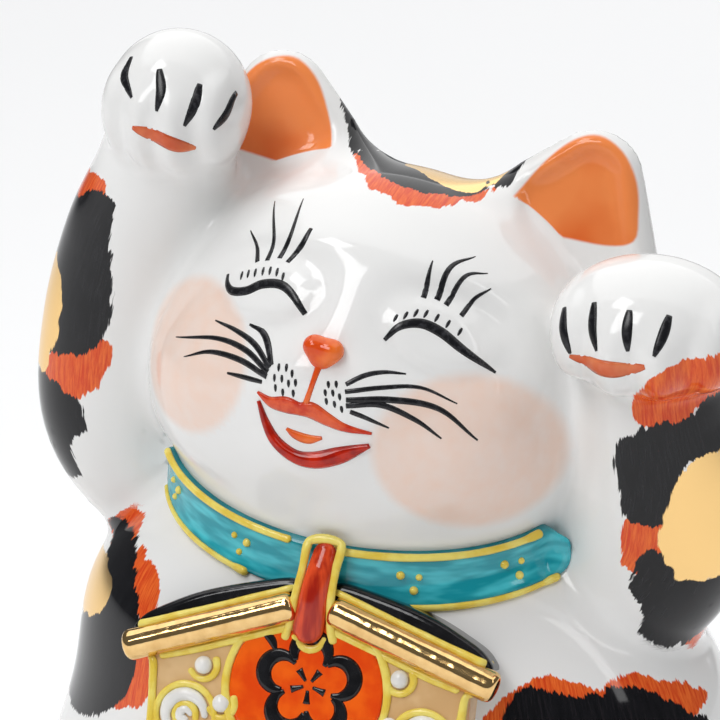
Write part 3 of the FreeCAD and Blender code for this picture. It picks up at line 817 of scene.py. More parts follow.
def painting(p, apart):
    """For each vertex: the depth of each paint, and the brush's own coordinates."""
    q = to_head(p)
    frames_of = {
        "torso": (torso_coordinates(p), apart[0]),
        "head": ((q[:, 0], q[:, 1]), np.maximum(apart[1:4].min(axis=0), 6.0 - 0.6 * q[:, 2])),
        "right_arm": (limb_coordinates(p, RIGHT_ARM, -1), apart[4]),
        "left_arm": (limb_coordinates(p, LEFT_ARM, 1), apart[5]),
        "tail": (limb_coordinates(p, TAIL, 1), apart[6]),
    }
    paint = {name: np.full(len(p), FAR) for name in PAINTS}
    grain = np.zeros((len(p), 3))
    closest = np.full(len(p), 1e9)
    for seed, (part, ((u, v), gap)) in enumerate(frames_of.items()):
        nearer = gap < closest
        closest = np.where(nearer, gap, closest)
        grain[nearer] = np.stack([u, v, np.full(len(p), seed * 10.0)], axis=1)[nearer]
        near = gap < 3.0
        for name in PAINTS:
            for outline in PATCHES[part][name]:
                depth = polygon_depth(u[near], v[near], rounded(outline))
                paint[name][near] = np.maximum(paint[name][near], np.minimum(depth, 4.0 - 2.0 * gap[near]))
    return paint, grain


def ear_paint(q, apart):
    """Depth inside the painted front of the ears."""
    found = np.full(len(q), FAR)
    for side, gap in ((-1, apart[2]), (1, apart[3])):
        depth = polygon_depth(q[:, 0] * side, q[:, 2], rounded(EAR_PAINT))
        depth = np.minimum(depth, 3.0 * (1.5 - gap))
        found = np.maximum(found, np.where(q[:, 1] < EAR_PLANE, depth, FAR))
    return found


def blush(q):
    found = np.zeros(len(q))
    for (x, z), (a, b) in BLUSH:
        r = np.hypot((q[:, 0] - x) / a, (q[:, 2] - z) / b)
        found = np.maximum(found, np.clip((1.0 - r) * 8.0, 0.0, 1.0))
    return np.where(q[:, 1] < 0, found, 0.0)


def make_castings():
    """The whole skin, parted into castings, each closed by an inner wall and carrying its paint."""
    verts, quads = net(skin, (-70, -58, 0), (73, 58, 185), SKIN_STEP)
    normals = normals_at(skin, verts)
    apart = casting_fields(verts)
    belongs = casting_fields(verts[quads].mean(axis=1)).argmin(axis=0)
    paint, grain = painting(verts, apart)
    q = to_head(verts)
    layers = dict(paint, grain=grain, blush=blush(q), ear=ear_paint(q, apart))
    layers["ear_deep"] = np.clip((34.0 - q[:, 2]) / 8.0, 0.0, 1.0)
    layers["biscuit"] = np.where((verts[:, 2] < 0.35) | (foot_recess(verts) < 0.6), 1.0, 0.0)
    for index, (name, node, wall) in enumerate(CASTINGS):
        own = quads[belongs == index]
        ids, place = np.unique(own, return_inverse=True)
        own = place.reshape(-1, 4)
        count = len(ids)
        edges = np.concatenate([own[:, [k, (k + 1) % 4]] for k in range(4)])
        key = edges[:, 0] * count + edges[:, 1]
        rim = edges[~np.isin(key, edges[:, 1] * count + edges[:, 0])]
        inner = verts[ids] - normals[ids] * wall
        lip_faces = np.stack([rim[:, 1], rim[:, 0], rim[:, 0] + count, rim[:, 1] + count], axis=1)
        faces = np.concatenate([own, own[:, ::-1] + count, lip_faces])
        piece = new_piece(name, np.concatenate([verts[ids], inner]), faces,
                          np.concatenate([normals[ids], -normals[ids]]))
        for layer, values in layers.items():
            store(piece, layer, np.concatenate([values[ids], values[ids]]))
        finish_piece(piece, porcelain, "porcelain", node)


make_castings()
slab = bpy.data.objects["base_slab"]
slab.material_slots[0].material = biscuit


# ================================================================ the face and the claws
def on_face(line):
    """Points of the face in front of (x, z) pairs, which are in the head's own frame."""
    line = np.asarray(line, float)
    start = from_head(np.column_stack([line[:, 0], np.full(len(line), -60.0), line[:, 1]]))
    ahead = np.array([0.0, 1.0, 0.0]) @ HEAD_SPIN.T
    return settle(head, cast(head, start, np.tile(ahead, (len(line), 1))))


def on_paw(form, line):
    """Points of a paw in front of (x, z) pairs, measured from its middle."""
    line = np.asarray(line, float)
    at = np.array(form["at"], float)
    start = at + np.column_stack([line[:, 0], np.full(len(line), -40.0), line[:, 1]])
    return settle(skin, cast(skin, start, np.tile([0.0, 1.0, 0.0], (len(line), 1))))


def face_strokes(shapes):
    """Brush strokes on the face, each (knots, width at its start, its middle and its end)."""
    made = [stroke(*shape) for shape in shapes]
    return [(on_face(path), widths) for path, widths in made]


def ticks(places, length, lean, width):
    """Short straight strokes centred on places, leaning from upright."""
    du, dv = math.sin(math.radians(lean)) * length / 2, math.cos(math.radians(lean)) * length / 2
    return [([(x + du, z + dv), (x, z), (x - du, z - dv)], width * 0.6, width, width * 0.35)
            for x, z in places]


LIDS = [
    ([(-24.6, 11.2), (-24.0, 10.0), (-22.4, 9.4), (-19.5, 10.4), (-16.9, 12.3), (-13.6, 13.3), (-10.7, 12.5),
      (-7.5, 10.0)], 0.7, 1.75, 1.0),
    ([(7.0, 9.4), (8.9, 12.2), (12.0, 13.4), (15.5, 12.7), (19.3, 10.8), (22.5, 9.2), (25.6, 7.4)],
     0.7, 1.8, 0.5),
]
LASHES = [
    ([(-23.4, 18.9), (-21.3, 17.3), (-19.5, 15.1)], 0.25, 0.7, 0.9),
    ([(-21.4, 24.2), (-18.3, 20.0), (-17.7, 15.9)], 0.2, 0.75, 0.95),
    ([(-16.1, 26.2), (-15.0, 21.5), (-15.6, 16.9)], 0.2, 0.8, 1.0),
    ([(-11.7, 23.0), (-12.3, 20.1), (-13.8, 16.8)], 0.8, 1.1, 0.9),
    ([(10.5, 23.2), (10.8, 20.1), (11.0, 17.2)], 0.25, 0.85, 1.0),
    ([(16.5, 24.7), (13.6, 22.7), (13.2, 17.3)], 0.2, 0.9, 1.1),
    ([(19.4, 22.6), (16.3, 21.7), (14.9, 16.8)], 0.2, 0.75, 1.0),
    ([(20.8, 20.4), (18.8, 18.4), (17.8, 15.6)], 0.25, 0.75, 0.9),
]
LID_TICKS_LEFT = [(-21.5, 12.2), (-20.3, 12.9), (-19.0, 13.5), (-17.6, 14.2), (-16.3, 14.7), (-14.9, 14.9),
                  (-13.5, 14.6)]
LID_TICKS_RIGHT = [(7.8, 13.3), (9.3, 14.1), (10.8, 14.8), (12.4, 15.0), (14.3, 14.7), (16.3, 14.1),
                   (18.5, 13.2)]
WHISKERS = [
    ([(-10.7, -0.5), (-16.4, 1.3), (-22.9, 1.1), (-31.4, -2.0)], 1.0, 1.0, 0.25),
    ([(-10.7, -1.3), (-16.8, -0.6), (-23.0, -1.3), (-28.2, -4.1)], 1.0, 1.0, 0.2),
    ([(-11.4, -2.5), (-14.9, -3.0), (-18.6, -3.5)], 0.7, 0.9, 0.4),
    ([(-10.6, 0.3), (-14.8, 2.7), (-19.5, 3.6), (-24.0, 3.7)], 1.0, 1.0, 0.3),
    ([(-10.4, 0.8), (-12.3, 3.5), (-14.3, 5.0), (-17.1, 5.3)], 1.0, 1.25, 0.5),
    ([(3.3, 1.4), (5.9, 3.5), (8.8, 4.6), (12.1, 4.9)], 0.8, 0.85, 0.3),
    ([(3.5, 0.2), (8.9, 2.1), (15.0, 3.2), (21.4, 1.7)], 0.8, 0.75, 0.25),
    ([(4.0, -1.1), (11.0, 0.5), (19.0, 0.3), (26.1, -3.7)], 0.9, 1.1, 0.35),
    ([(4.2, -2.1), (9.7, -0.6), (15.6, -2.1), (20.5, -4.4)], 0.9, 1.0, 0.3),
    ([(5.1, -2.9), (7.8, -3.3), (11.9, -4.3)], 0.8, 0.8, 0.3),
]
FRECKLES_LEFT = [(-8.9, 0.9), (-7.5, 1.3), (-6.2, 0.7), (-9.2, -1.0), (-7.8, -0.7), (-6.4, -1.1),
                 (-5.2, -0.6), (-8.6, -2.6), (-7.1, -2.9), (-5.2, -2.5)]
FRECKLES_RIGHT = [(0.4, 0.6), (1.7, 1.0), (0.2, -0.9), (1.5, -0.6), (2.8, -0.9), (0.7, -2.3), (2.2, -2.4),
                  (3.6, -2.9)]
CLAWS = {
    "right": (RIGHT_PAW, [
        [(-6.5, 8.2), (-6.7, 5.0), (-4.2, 1.8)], [(0.0, 7.0), (1.0, 3.7), (0.7, 0.0)],
        [(7.1, 5.0), (6.8, 1.5), (5.5, -2.2)], [(11.9, 3.4), (11.5, 0.0), (10.1, -2.6)]]),
    "left": (LEFT_PAW, [
        [(-13.2, 3.6), (-12.7, 0.2), (-11.1, -3.6)], [(-7.9, 5.4), (-7.4, 1.2), (-6.2, -2.1)],
        [(-1.5, 5.2), (-1.4, 2.0), (-0.9, -1.4)], [(5.1, 5.0), (4.6, 1.8), (3.6, -1.6)]]),
}
PADS = {
    "right": ([(-3.4, -3.2), (-0.5, -4.0), (2.5, -5.0), (5.0, -5.9), (6.9, -6.2)], (0.7, 2.8, 0.7)),
    "left": ([(-11.2, -4.1), (-8.0, -4.6), (-4.0, -4.8), (-1.0, -4.6), (2.2, -3.6)], (0.7, 3.1, 0.8)),
}
LINE_RISE = 0.13

ribbons("eyelids", head, face_strokes(LIDS), 0.16, line_black, "black_enamel")
ribbons("eyelashes", head, face_strokes(LASHES), LINE_RISE, line_black, "black_enamel")
lid_ticks = ticks(LID_TICKS_LEFT, 1.3, -12, 0.6) + ticks(LID_TICKS_RIGHT, 1.3, 12, 0.6)
ribbons("lid_ticks", head, face_strokes(lid_ticks), LINE_RISE, line_black, "black_enamel")
ribbons("whiskers", head, face_strokes(WHISKERS), LINE_RISE, line_black, "black_enamel")
freckles = ticks(FRECKLES_LEFT, 1.3, -14, 0.62) + ticks(FRECKLES_RIGHT, 1.2, -20, 0.62)
ribbons("freckles", head, face_strokes(freckles), LINE_RISE, line_black, "black_enamel")

for side, (form, lines) in CLAWS.items():
    drawn = [stroke(line, 1.0, 1.8, 0.6) for line in lines]
    marks = [(on_paw(form, path), widths) for path, widths in drawn]
    ribbons(f"claws_{side}", skin, marks, LINE_RISE, line_black, "black_enamel")
    line, widths = PADS[side]
    path, widths = stroke(line, *widths)
    ribbons(f"pad_{side}", skin, [(on_paw(form, path), widths)], 0.1, pad_enamel, "sun_enamel")

UPPER_LIP = [((-11.8, -4.5), 0.5), ((-9.0, -5.4), 2.2), ((-6.0, -5.0), 3.4), ((-3.6, -5.0), 2.8),
             ((-1.6, -4.7), 3.4), ((1.2, -5.4), 2.8), ((4.6, -6.0), 1.7), ((9.3, -5.9), 0.5)]
LOWER_LIP = [((-11.3, -5.9), 0.6), ((-9.4, -9.4), 1.7), ((-6.8, -12.0), 2.3), ((-2.9, -13.5), 2.7),
             ((0.6, -13.2), 3.2), ((4.3, -11.4), 3.1), ((7.0, -9.7), 2.2), ((9.3, -8.2), 0.9)]
TONGUE = [((-5.5, -9.3), 0.6), ((-3.7, -9.9), 1.5), ((-1.3, -10.0), 1.7), ((1.0, -9.1), 0.6)]
PHILTRUM = ([(-2.0, 3.5), (-2.3, -0.1), (-2.7, -3.6)], 1.3, 0.95, 1.1)


def lip(knots):
    """A lip's middle line and widths, from knots that each carry a width."""
    path = smooth_path([(x, z, w) for (x, z), w in knots], 8)
    return [(on_face(path[:, :2]), np.maximum(path[:, 2], 0.3))]


ribbons("upper_lip_paint", head, lip(UPPER_LIP), 0.35, upper_lip, "lip_enamel", "upper_lip")
ribbons("lower_lip_paint", head, lip(LOWER_LIP), 0.6, lip_enamel, "lip_enamel", "lower_lip")
ribbons("tongue_paint", head, lip(TONGUE), 0.25, nose_enamel, "nose_enamel", "tongue")
ribbons("philtrum", head, face_strokes([PHILTRUM]), 0.2, nose_enamel, "nose_enamel")

nose_at = to_head(on_face([(-2.0, 5.6)]))[0]


def nose(p):
    """A soft wedge, broad above and narrow where it meets the philtrum."""
    q = to_head(p) - nose_at
    wings = [ellipsoid(q, (x, -0.6, 0.6), (2.1, 2.3, 2.0)) for x in (-1.5, 1.5)]
    return blend(blend(*wings, 1.6), ellipsoid(q, (0.0, -0.2, -1.5), (1.9, 1.7, 1.7)), 1.8)


low, high = node_box("nose", 4.0)
sculpted("nose_tip", nose, low, high, 0.3, nose_enamel, "nose_enamel", "nose")


# ================================================================ the collar
COLLAR_AT = np.array([-1.5, -6.0, 104.5])
COLLAR_TURN = turn((0, 1, 0), 3.5) @ turn((1, 0, 0), 21.0)
COLLAR_HALF = (41.0, 34.0)
COLLAR_TALL, COLLAR_PROUD, COLLAR_DEEP = 8.8, 0.9, 2.5
COLLAR_RISE = 0.7  # how far the visible strap sits above its middle line
COLLAR_CORNER = 3.0
COLLAR_MEAN_R = 37.0
CLEAR_OF_BODY = 25  # from the collar's middle line out to where nothing of the cat reaches
FRONT_SPAN, BACK_SPAN = (-161.0, -19.0), (28.0, 152.0)
COLLAR_REACH = 4.0  # the strap ends where the arms stand farther out than this


def throat(p):
    """The surface that the collar is laid on: the fold under the chin, filled."""
    arms = np.minimum(limb(p, RIGHT_ARM), limb(p, LEFT_ARM))
    return blend(blend(torso(p), head(p), 12.0), arms, 5.0)


def to_collar(p):
    return (p - COLLAR_AT) @ COLLAR_TURN


def from_collar(q):
    return np.asarray(q, float) @ COLLAR_TURN.T + COLLAR_AT


def collar_run(p, span):
    """Millimetres along the collar from a span's middle, height above its line, and half its length."""
    q = to_collar(p)
    angle = np.degrees(np.arctan2(q[:, 1] / COLLAR_HALF[1], q[:, 0] / COLLAR_HALF[0]))
    a = np.radians(np.arange(span[0], span[1] + 0.5, 1.0))
    step = np.hypot(COLLAR_HALF[0] * np.sin(a), COLLAR_HALF[1] * np.cos(a)) * math.radians(1.0)
    length = np.concatenate([[0.0], np.cumsum(step[:-1])])
    along = np.interp(angle, np.degrees(a), length)
    along += np.clip(angle - span[1], 0, 60) * 0.65 - np.clip(span[0] - angle, 0, 60) * 0.65
    return along - length[-1] / 2, q[:, 2] - COLLAR_RISE, length[-1] / 2


def collar_field(span):
    """Distance to the strap: a sheet on the throat, cut to a rounded strip."""
    def field(p):
        s, h, half = collar_run(p, span)
        past_end, past_edge = np.abs(s) - half, np.abs(h) - COLLAR_TALL / 2
        face = (np.hypot(np.maximum(past_end + COLLAR_CORNER, 0), np.maximum(past_edge + COLLAR_CORNER, 0))
                + np.minimum(np.maximum(past_end, past_edge) + COLLAR_CORNER, 0.0) - COLLAR_CORNER)
        q = to_collar(p)
        out_of_line = (np.hypot(q[:, 0] / COLLAR_HALF[0], q[:, 1] / COLLAR_HALF[1]) - 1.0) * COLLAR_MEAN_R
        reach = out_of_line - COLLAR_REACH
        face = carve(face, reach, 2.0)
        out = throat(p)
        sheet = np.abs(out - (COLLAR_PROUD - COLLAR_DEEP) / 2) - (COLLAR_PROUD + COLLAR_DEEP) / 2
        return carve(face, sheet, 1.3)
    return field


def collar_strap(name, span, node):
    """Adds one strap, with its length and edges marked for the enamel, and gives back its field."""
    field = collar_field(span)
    low, high = node_box(node, 9.0)
    verts, quads = net(field, low, high, 0.6)
    piece = new_piece(name, verts, quads, normals_at(field, verts))
    s, h, _ = collar_run(verts, span)
    store(piece, "run", np.stack([s, h, np.zeros(len(s))], axis=1))
    store(piece, "edge", np.clip((np.abs(h) - COLLAR_TALL / 2 + 1.6) / 1.6, 0.0, 1.0) * 0.7)
    finish_piece(piece, teal, "teal_enamel", node)
    return field


def collar_line(field, span, up):
    """Points along the collar's face at a height above its middle line."""
    angles = np.radians(np.arange(span[0], span[1] + 0.1, 2.0))

    def ring(grow, height):
        heights = np.full(len(angles), height)
        return from_collar(np.stack([(COLLAR_HALF[0] + grow) * np.cos(angles),
                                     (COLLAR_HALF[1] + grow) * np.sin(angles), heights], axis=1))

    inward = from_collar(np.zeros((1, 3))) - ring(0, 0.0)
    points = cast(field, ring(CLEAR_OF_BODY, up + COLLAR_RISE), inward)
    return points[np.abs(field(points)) < ON_SURFACE]


front_field = collar_strap("collar_front", FRONT_SPAN, "collar_band_front")
back_field = collar_strap("collar_back", BACK_SPAN, "collar_band_back")
TRIM_UP = 4.0
TRIM_R, TRIM_LIFT = 0.68, 0.15
BLOB = 1.5  # the last of each trailed line is thicker by this factor


def trim(name, field, span, up, node, blobs=(1.0, BLOB)):
    """An enamel bead along a strap, thickened at its two ends."""
    points = collar_line(field, span, up)
    radii = np.full(len(points), TRIM_R)
    radii[:2] *= blobs[0]
    radii[-2:] *= blobs[1]
    normals = normals_at(field, points)
    trails(name, [(points + normals * TRIM_LIFT, radii, normals)], yellow, "yellow_enamel", node)


trim("trim_upper_right", front_field, (-158, -97), TRIM_UP, "collar_trim_upper_right", (1.0, 1.0))
trim("trim_upper_left", front_field, (-84, -24), TRIM_UP, "collar_trim_upper_left", (1.4, 1.2))
trim("trim_lower_right", front_field, (-158, -110), -TRIM_UP, "collar_trim_lower_right", (1.0, 1.4))
trim("trim_lower_left", front_field, (-67, -22), -TRIM_UP, "collar_trim_lower_left", (1.3, 1.5))
trim("trim_upper_back", back_field, (34, 146), TRIM_UP, "collar_trim_upper_back")
trim("trim_lower_back", back_field, (34, 146), -TRIM_UP, "collar_trim_lower_back")


def collar_dots():
    """Groups of three small dots of enamel along the strap."""
    spots = []
    for angle in (-148.0, -114.0, -61.0, -33.0, 50.0, 90.0, 130.0):
        for k, (step, up) in enumerate(((-1.0, 0.9), (0.9, 0.6), (0.2, -1.5))):
            strap = front_field if angle < 0 else back_field
            a = angle + step * 2.6
            spots.append((collar_line(strap, (a, a + 0.05), up)[0], 0.62 + 0.16 * ((k + int(angle)) % 2)))

    def field(p):
        return np.minimum.reduce([np.linalg.norm(p - at, axis=1) - r for at, r in spots])

    verts, faces = [], []
    for at, r in spots:
        v, f = net(lambda p: np.linalg.norm(p - at, axis=1) - r, at - r, at + r, 0.3)
        faces.append(f + sum(len(x) for x in verts))
        verts.append(v)
    verts = np.concatenate(verts)
    piece = new_piece("collar_dots_trailed", verts, np.concatenate(faces), normals_at(field, verts))
    finish_piece(piece, yellow, "yellow_enamel", "collar_dots")


collar_dots()


# ================================================================ the plaque
PLAQUE_AT = np.array([0.5, -43.0, 73.5])
PLAQUE_TURN = turn((1, 0, 0), 76.0) @ turn((0, 0, 1), 2.0)


def to_plaque(p):
    return (p - PLAQUE_AT) @ PLAQUE_TURN


def from_plaque(q):
    return np.asarray(q, float) @ PLAQUE_TURN.T + PLAQUE_AT


def plaque_piece(name, local_field, low, high, step, material, slot, *nodes):
    """A sculpted piece whose field is written in the plaque's own frame: across, up, out."""
    verts, quads = net(local_field, low, high, step)
    normals = normals_at(local_field, verts) @ PLAQUE_TURN.T
    return finish_piece(new_piece(name, from_plaque(verts), quads, normals), material, slot, *nodes)


BOARD = [(-28.2, -22.2), (28.2, -22.2), (29.0, 3.4), (0.0, 14.4), (-29.0, 3.4)]
SUN_R = 13.9
BAR_TOP, BAR_FALL = 15.5, 0.346  # height of a bar's middle line at the ridge, and how it falls outward
BAR_SPAN, BAR_R = (3.2, 33.6), 2.85
EAVE = [(3.2, 15.5), (3.8, 19.0), (11.0, 17.8), (20.2, 15.2), (27.0, 12.1), (31.2, 9.4), (31.6, 6.6),
        (18.0, 9.5)]


def flat_outline(corners):
    """The plaque-frame distance to a flat outline."""
    corners = [tuple(c) for c in corners]

    def field(p):
        return -polygon_depth(p[:, 0], p[:, 1], corners)
    return field


def plate(corners, low, high, edge):
    """A plate between two depths, with its edges rounded."""
    outline = flat_outline(corners)

    def field(p):
        return carve(outline(p), np.abs(p[:, 2] - (low + high) / 2) - (high - low) / 2, edge)
    return field


def bar(side):
    """A gold bar: a half-round rod with a flat end."""
    inner = np.array([side * BAR_SPAN[0], BAR_TOP - BAR_FALL * BAR_SPAN[0], 0.3])
    outer = np.array([side * BAR_SPAN[1], BAR_TOP - BAR_FALL * BAR_SPAN[1], 0.3])
    way = (outer - inner) / np.linalg.norm(outer - inner)
    length = np.linalg.norm(outer - inner)

    def field(p):
        q = p - inner
        s = q @ way
        across = q - s[:, None] * way
        rod = np.hypot(np.linalg.norm(across[:, :2], axis=1), across[:, 2]) - BAR_R
        ends = np.abs(s - length / 2) - length / 2
        return carve(rod, ends, 1.6)
    return field


def board(p):
    return plate(BOARD, -9.0, 0.0, 1.2)(p)


def sun(p):
    return carve(np.hypot(p[:, 0], p[:, 1]) - SUN_R, np.abs(p[:, 2]) - 0.35, 0.5)


def hanger(p):
    """The red loop: a flattened strap that passes over the collar and curls in above it."""
    q = p * np.array([1.0, 1.0, 1.5])
    return limb(q, [(-0.5, 10.8, 1.2, 2.8), (0.2, 16.0, 2.6, 2.6), (0.9, 20.5, 3.2, 2.3),
                    (1.4, 23.8, 2.2, 2.1)])


plaque_piece("plaque", board, (-30, -23, -9), (30, 15, 0.5), 0.7, board_glaze, "board_glaze", "plaque_board")
plaque_piece("sun", sun, (-14, -14, -0.5), (14, 14, 0.5), 0.5, sun_enamel, "sun_enamel", "sun_disc")
for side, word in ((-1, "right"), (1, "left")):
    roof = rounded([(side * u, v) for u, v in EAVE])
    near, far = sorted([side * 1.0, side * 36.0])
    plaque_piece(f"eave_lip_{word}", plate(roof, -7.0, 0.8, 1.6), (near, 3, -8), (far, 21, 2), 0.5,
                 black, "black_enamel", f"eave_{word}")
    plaque_piece(f"bar_{word}", bar(side), (near, 0, -4), (far, 19, 4), 0.45,
                 bright_gold, "bright_gold", f"gold_bar_{word}")
plaque_piece("hanger", hanger, (-3, 7, -3), (3, 29, 5), 0.35, red, "red_enamel", "hanger_strap")

OUT = np.array([0.0, 0.0, 1.0])


def plaque_trail(line, start, middle, end, field=board, lift=0.15):
    """A trailed line drawn on the plaque's face: knots are across, up."""
    path, radii = stroke(line, start, middle, end, 0.6)
    top = np.column_stack([path, np.full(len(path), 12.0)])
    spots = cast(field, top, np.tile(-OUT, (len(top), 1)), 40)
    found = np.abs(field(spots)) < ON_SURFACE  # a line may begin just past the edge of what it is drawn on
    spots, radii = spots[found], radii[found]
    normals = normals_at(field, spots)
    return from_plaque(spots + normals * lift), radii, normals @ PLAQUE_TURN.T


def arc(centre, radius, start, end, count=9):
    a = np.radians(np.linspace(start, end, count))
    return [(centre[0] + radius * c, centre[1] + radius * s) for c, s in zip(np.cos(a), np.sin(a))]


def bar_edge(side, offset, low, high):
    """A line along a bar, offset from its middle line."""
    return [(side * u, BAR_TOP - BAR_FALL * u + offset * 1.06) for u in np.linspace(low, high, 5)]


def roofed(p):
    """The board with its bars and eaves, for lines trailed along them."""
    return np.minimum.reduce([board(p), bar(-1)(p), bar(1)(p)]
                             + [plate([(s * u, v) for u, v in EAVE], -7.0, 0.8, 1.6)(p) for s in (-1, 1)])


rims = []
for side in (-1, 1):
    rims.append(plaque_trail(bar_edge(side, 3.1, 3.8, 32.6), 0.6, 0.6, 0.8, roofed, 0.1))
    foot = [(side * 27.9, -2.0), (side * 27.5, -12.0), (side * 27.0, -20.5)]
    rims.append(plaque_trail(bar_edge(side, -3.4, 3.6, 27.0)[:-1] + [(side * 26.5, 3.2)], 0.75, 0.65, 0.75))
    rims.append(plaque_trail([(side * 31.8, 1.6), (side * 28.6, 2.4)] + foot, 0.7, 0.75, 0.75))
rims.append(plaque_trail([(-26.6, -20.8), (0.0, -21.0), (26.6, -20.8)], 0.75, 0.75, 0.75))
trails("board_trails", rims, yellow, "yellow_enamel", "board_rim")
sun_sides = [arc((0, 0), SUN_R + 0.7, a, b) for a, b in ((112, 236), (-56, 68))]
trails("sun_trails", [plaque_trail(line, 0.6, 0.8, 0.7) for line in sun_sides],
       yellow, "yellow_enamel", "sun_rim")

PEARLS = [(-18.9, 2.2), (-15.0, -4.1), (16.5, 3.7), (15.4, -4.6), (-19.5, -15.5), (19.5, -15.5),
          (-11.5, -18.0), (11.5, -18.0)]
PEARL_R = 1.6


def pearls(p):
    return np.minimum.reduce([ellipsoid(p, (u, v, 0.2), (PEARL_R, PEARL_R, 1.3)) for u, v in PEARLS])


plaque_piece("pearl_drops", pearls, (-23, -21, -2), (23, 6, 2), 0.3, white, "white_enamel", "pearls")
cups = [plaque_trail(arc(at, PEARL_R + 0.9, -150, 25, 7), 0.55, 0.6, 0.75) for at in PEARLS]
trails("pearl_cup_trails", cups, yellow, "yellow_enamel", "pearl_cups")

white_curls, yellow_curls = [], []
for side in (-1, 1):
    centre = (side * 21.4, -6.8)
    lean = 20 * side
    white_curls.append(plaque_trail(arc(centre, 3.6, 190 - lean, -15 - lean), 0.8, 1.25, 0.7))
    white_curls.append(plaque_trail(arc(centre, 1.0, 250 - lean, 0 - lean, 5), 0.8, 0.9, 0.6))
    yellow_curls.append(plaque_trail(arc(centre, 5.4, 185 - lean, -20 - lean), 0.6, 0.7, 0.6))
    yellow_curls.append(plaque_trail(arc(centre, 2.0, 200 - lean, -30 - lean, 7), 0.5, 0.6, 0.6))
trails("scroll_white_trails", white_curls, white, "white_enamel", "scrolls_white")
trails("scroll_yellow_trails", yellow_curls, yellow, "yellow_enamel", "scrolls_yellow")


def strapped(p):
    """The plaque's hanger over the collar, for the bead that outlines it."""
    return np.minimum(hanger(p), np.minimum(roofed(p), front_field(from_plaque(p))))


LOOP = [(-4.6, 8.8, 0.3), (-3.8, 11.5, 0.9), (-3.1, 16.0, 1.9), (-2.2, 21.0, 2.1), (-1.9, 24.6, 1.9),
        (-1.2, 26.0, 1.7), (1.4, 26.4, 1.6), (3.9, 26.0, 1.7), (4.3, 24.6, 1.9), (3.7, 21.0, 2.1),
        (3.3, 16.0, 1.9), (3.4, 11.5, 0.9), (4.0, 9.0, 0.3)]
HANGER_FOOT = [(-2.4, 9.0), (-1.6, 7.6), (0.0, 7.0), (1.6, 7.6), (2.4, 9.0)]
loop_path, loop_radii = stroke(LOOP, 0.75, 0.8, 0.75)
loop_line = (from_plaque(loop_path), loop_radii, np.tile(OUT @ PLAQUE_TURN.T, (len(loop_path), 1)))
trails("hanger_trail", [loop_line, plaque_trail(HANGER_FOOT, 0.6, 0.75, 0.6, strapped)],
       yellow, "yellow_enamel", "hanger_outline")


def on_sun(line, widths):
    path, widths = stroke(line, *widths)
    top = np.column_stack([path, np.full(len(path), 6.0)])
    return from_plaque(cast(sun, top, np.tile(-OUT, (len(top), 1)), 40)), widths


def sun_face(p):
    return sun(to_plaque(p))


# a plum blossom and its twig in brushed black: five petals, a heart of short stamens, and the twig below
BLOOM = (0.4, 0.8)
petals = []
for k in range(5):
    turned = 90 + 72 * k
    a = math.radians(turned)
    middle = (BLOOM[0] + 5.4 * math.cos(a), BLOOM[1] + 5.4 * math.sin(a))
    petals.append(on_sun(arc(middle, 3.1, turned - 125, turned + 115, 9), (0.8, 2.9, 1.2)))
    b = math.radians(turned + 36)
    tip = [(BLOOM[0] + r * math.cos(b), BLOOM[1] + r * math.sin(b)) for r in (0.9, 2.0, 3.2)]
    petals.append(on_sun(tip, (0.6, 0.9, 1.4)))
petals.append(on_sun([(-10.4, -7.2), (-5.0, -9.6), (1.5, -9.9), (8.8, -7.4)], (1.4, 3.0, 0.9)))
petals.append(on_sun([(-8.6, 9.2), (-7.0, 8.0), (-6.0, 6.2)], (0.7, 1.6, 0.5)))
ribbons("blossom", sun_face, petals, 0.16, black, "black_enamel", "blossom_motif")


# ================================================================ the studio
def aim(item, place, target):
    item.location = place
    item.rotation_mode = "QUATERNION"
    item.rotation_quaternion = (Vector(target) - Vector(place)).to_track_quat("-Z", "Y")


def softbox(name, place, target, width, height, power):
    """A rectangular lamp that faces its target."""
    light = bpy.data.lights.new(name, "AREA")
    light.shape, light.size, light.size_y = "RECTANGLE", width, height
    light.energy = power
    item = bpy.data.objects.new(name, light)
    bpy.context.scene.collection.objects.link(item)
    aim(item, place, target)


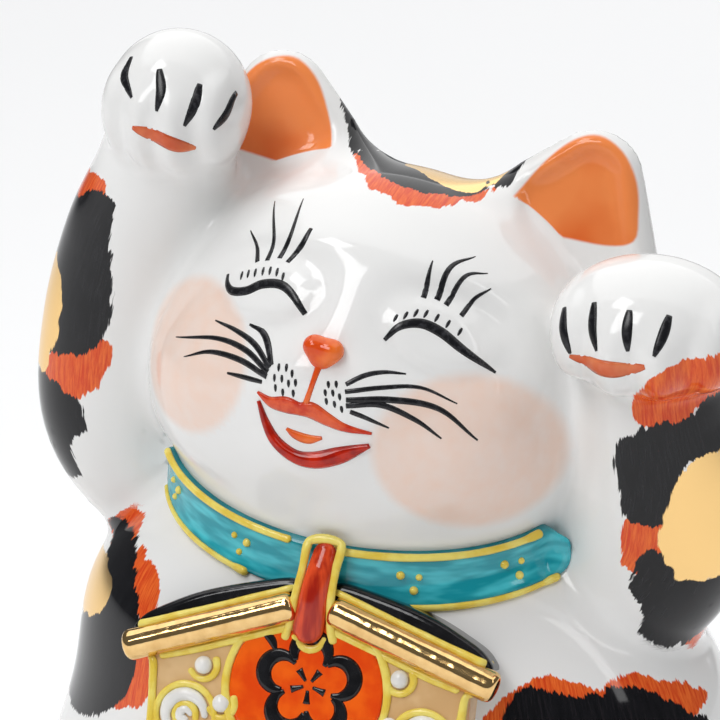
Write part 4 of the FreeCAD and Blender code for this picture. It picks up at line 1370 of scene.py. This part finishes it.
FLOOR = 5.0  # half the floor's width, in metres
floor_mesh = bpy.data.meshes.new("floor")
floor_corners = [(x * FLOOR, y * FLOOR, 0) for x, y in ((-1, -1), (1, -1), (1, 1), (-1, 1))]
floor_mesh.from_pydata(floor_corners, [], [(0, 1, 2, 3)])
floor = bpy.data.objects.new("floor", floor_mesh)
bpy.context.scene.collection.objects.link(floor)
paper, _, _ = new_material("paper", Roughness=0.9, Base_Color=(0.93, 0.93, 0.935, 1))
floor_mesh.materials.append(paper)

MIDDLE = (0.0, 0.0, 0.11)
softbox("overhead", (0.0, 1.7, 2.8), (0.0, 1.7, 0.0), 5.6, 5.0, 120.0)
softbox("sweep", (0.0, 4.2, 1.6), (0.0, 0.0, 0.3), 6.0, 2.4, 33.0)
softbox("front", (-0.55, -1.5, 1.35), MIDDLE, 0.8, 0.8, 14.0)
softbox("window", (-0.50, -0.55, 1.20), MIDDLE, 0.34, 0.42, 3.4)
softbox("strip", (0.85, -0.35, 0.70), MIDDLE, 0.10, 0.50, 0.5)
world = bpy.data.worlds.new("studio")
world.use_nodes = True
world.node_tree.nodes["Background"].inputs["Color"].default_value = (0.95, 0.97, 1.0, 1)
world.node_tree.nodes["Background"].inputs["Strength"].default_value = 0.14
bpy.context.scene.world = world
bpy.context.scene.view_settings.view_transform = "Standard"


# ================================================================ the camera
AZIMUTH, ELEVATION, ROLL = (math.radians(a) for a in (15.0, 12.0, 4.0))
DISTANCE = 520.0
back = Vector((math.sin(AZIMUTH) * math.cos(ELEVATION), -math.cos(AZIMUTH) * math.cos(ELEVATION),
               math.sin(ELEVATION)))
level = Vector((math.cos(AZIMUTH), math.sin(AZIMUTH), 0.0))
upright = back.cross(level)
right = level * math.cos(ROLL) + upright * math.sin(ROLL)
up = upright * math.cos(ROLL) - level * math.sin(ROLL)
target = Vector((-3.0, -8.0, 126.0)) - right * 0.36 - up * 0.73
camera_data = bpy.data.cameras.new("camera")
camera_data.lens, camera_data.sensor_width = 143.0, 36.0
camera = bpy.data.objects.new("camera", camera_data)
bpy.context.scene.collection.objects.link(camera)
facing = Matrix((right, up, back)).transposed().to_4x4()
camera.matrix_world = Matrix.Translation((target + back * DISTANCE) * MM) @ facing
bpy.context.scene.camera = camera
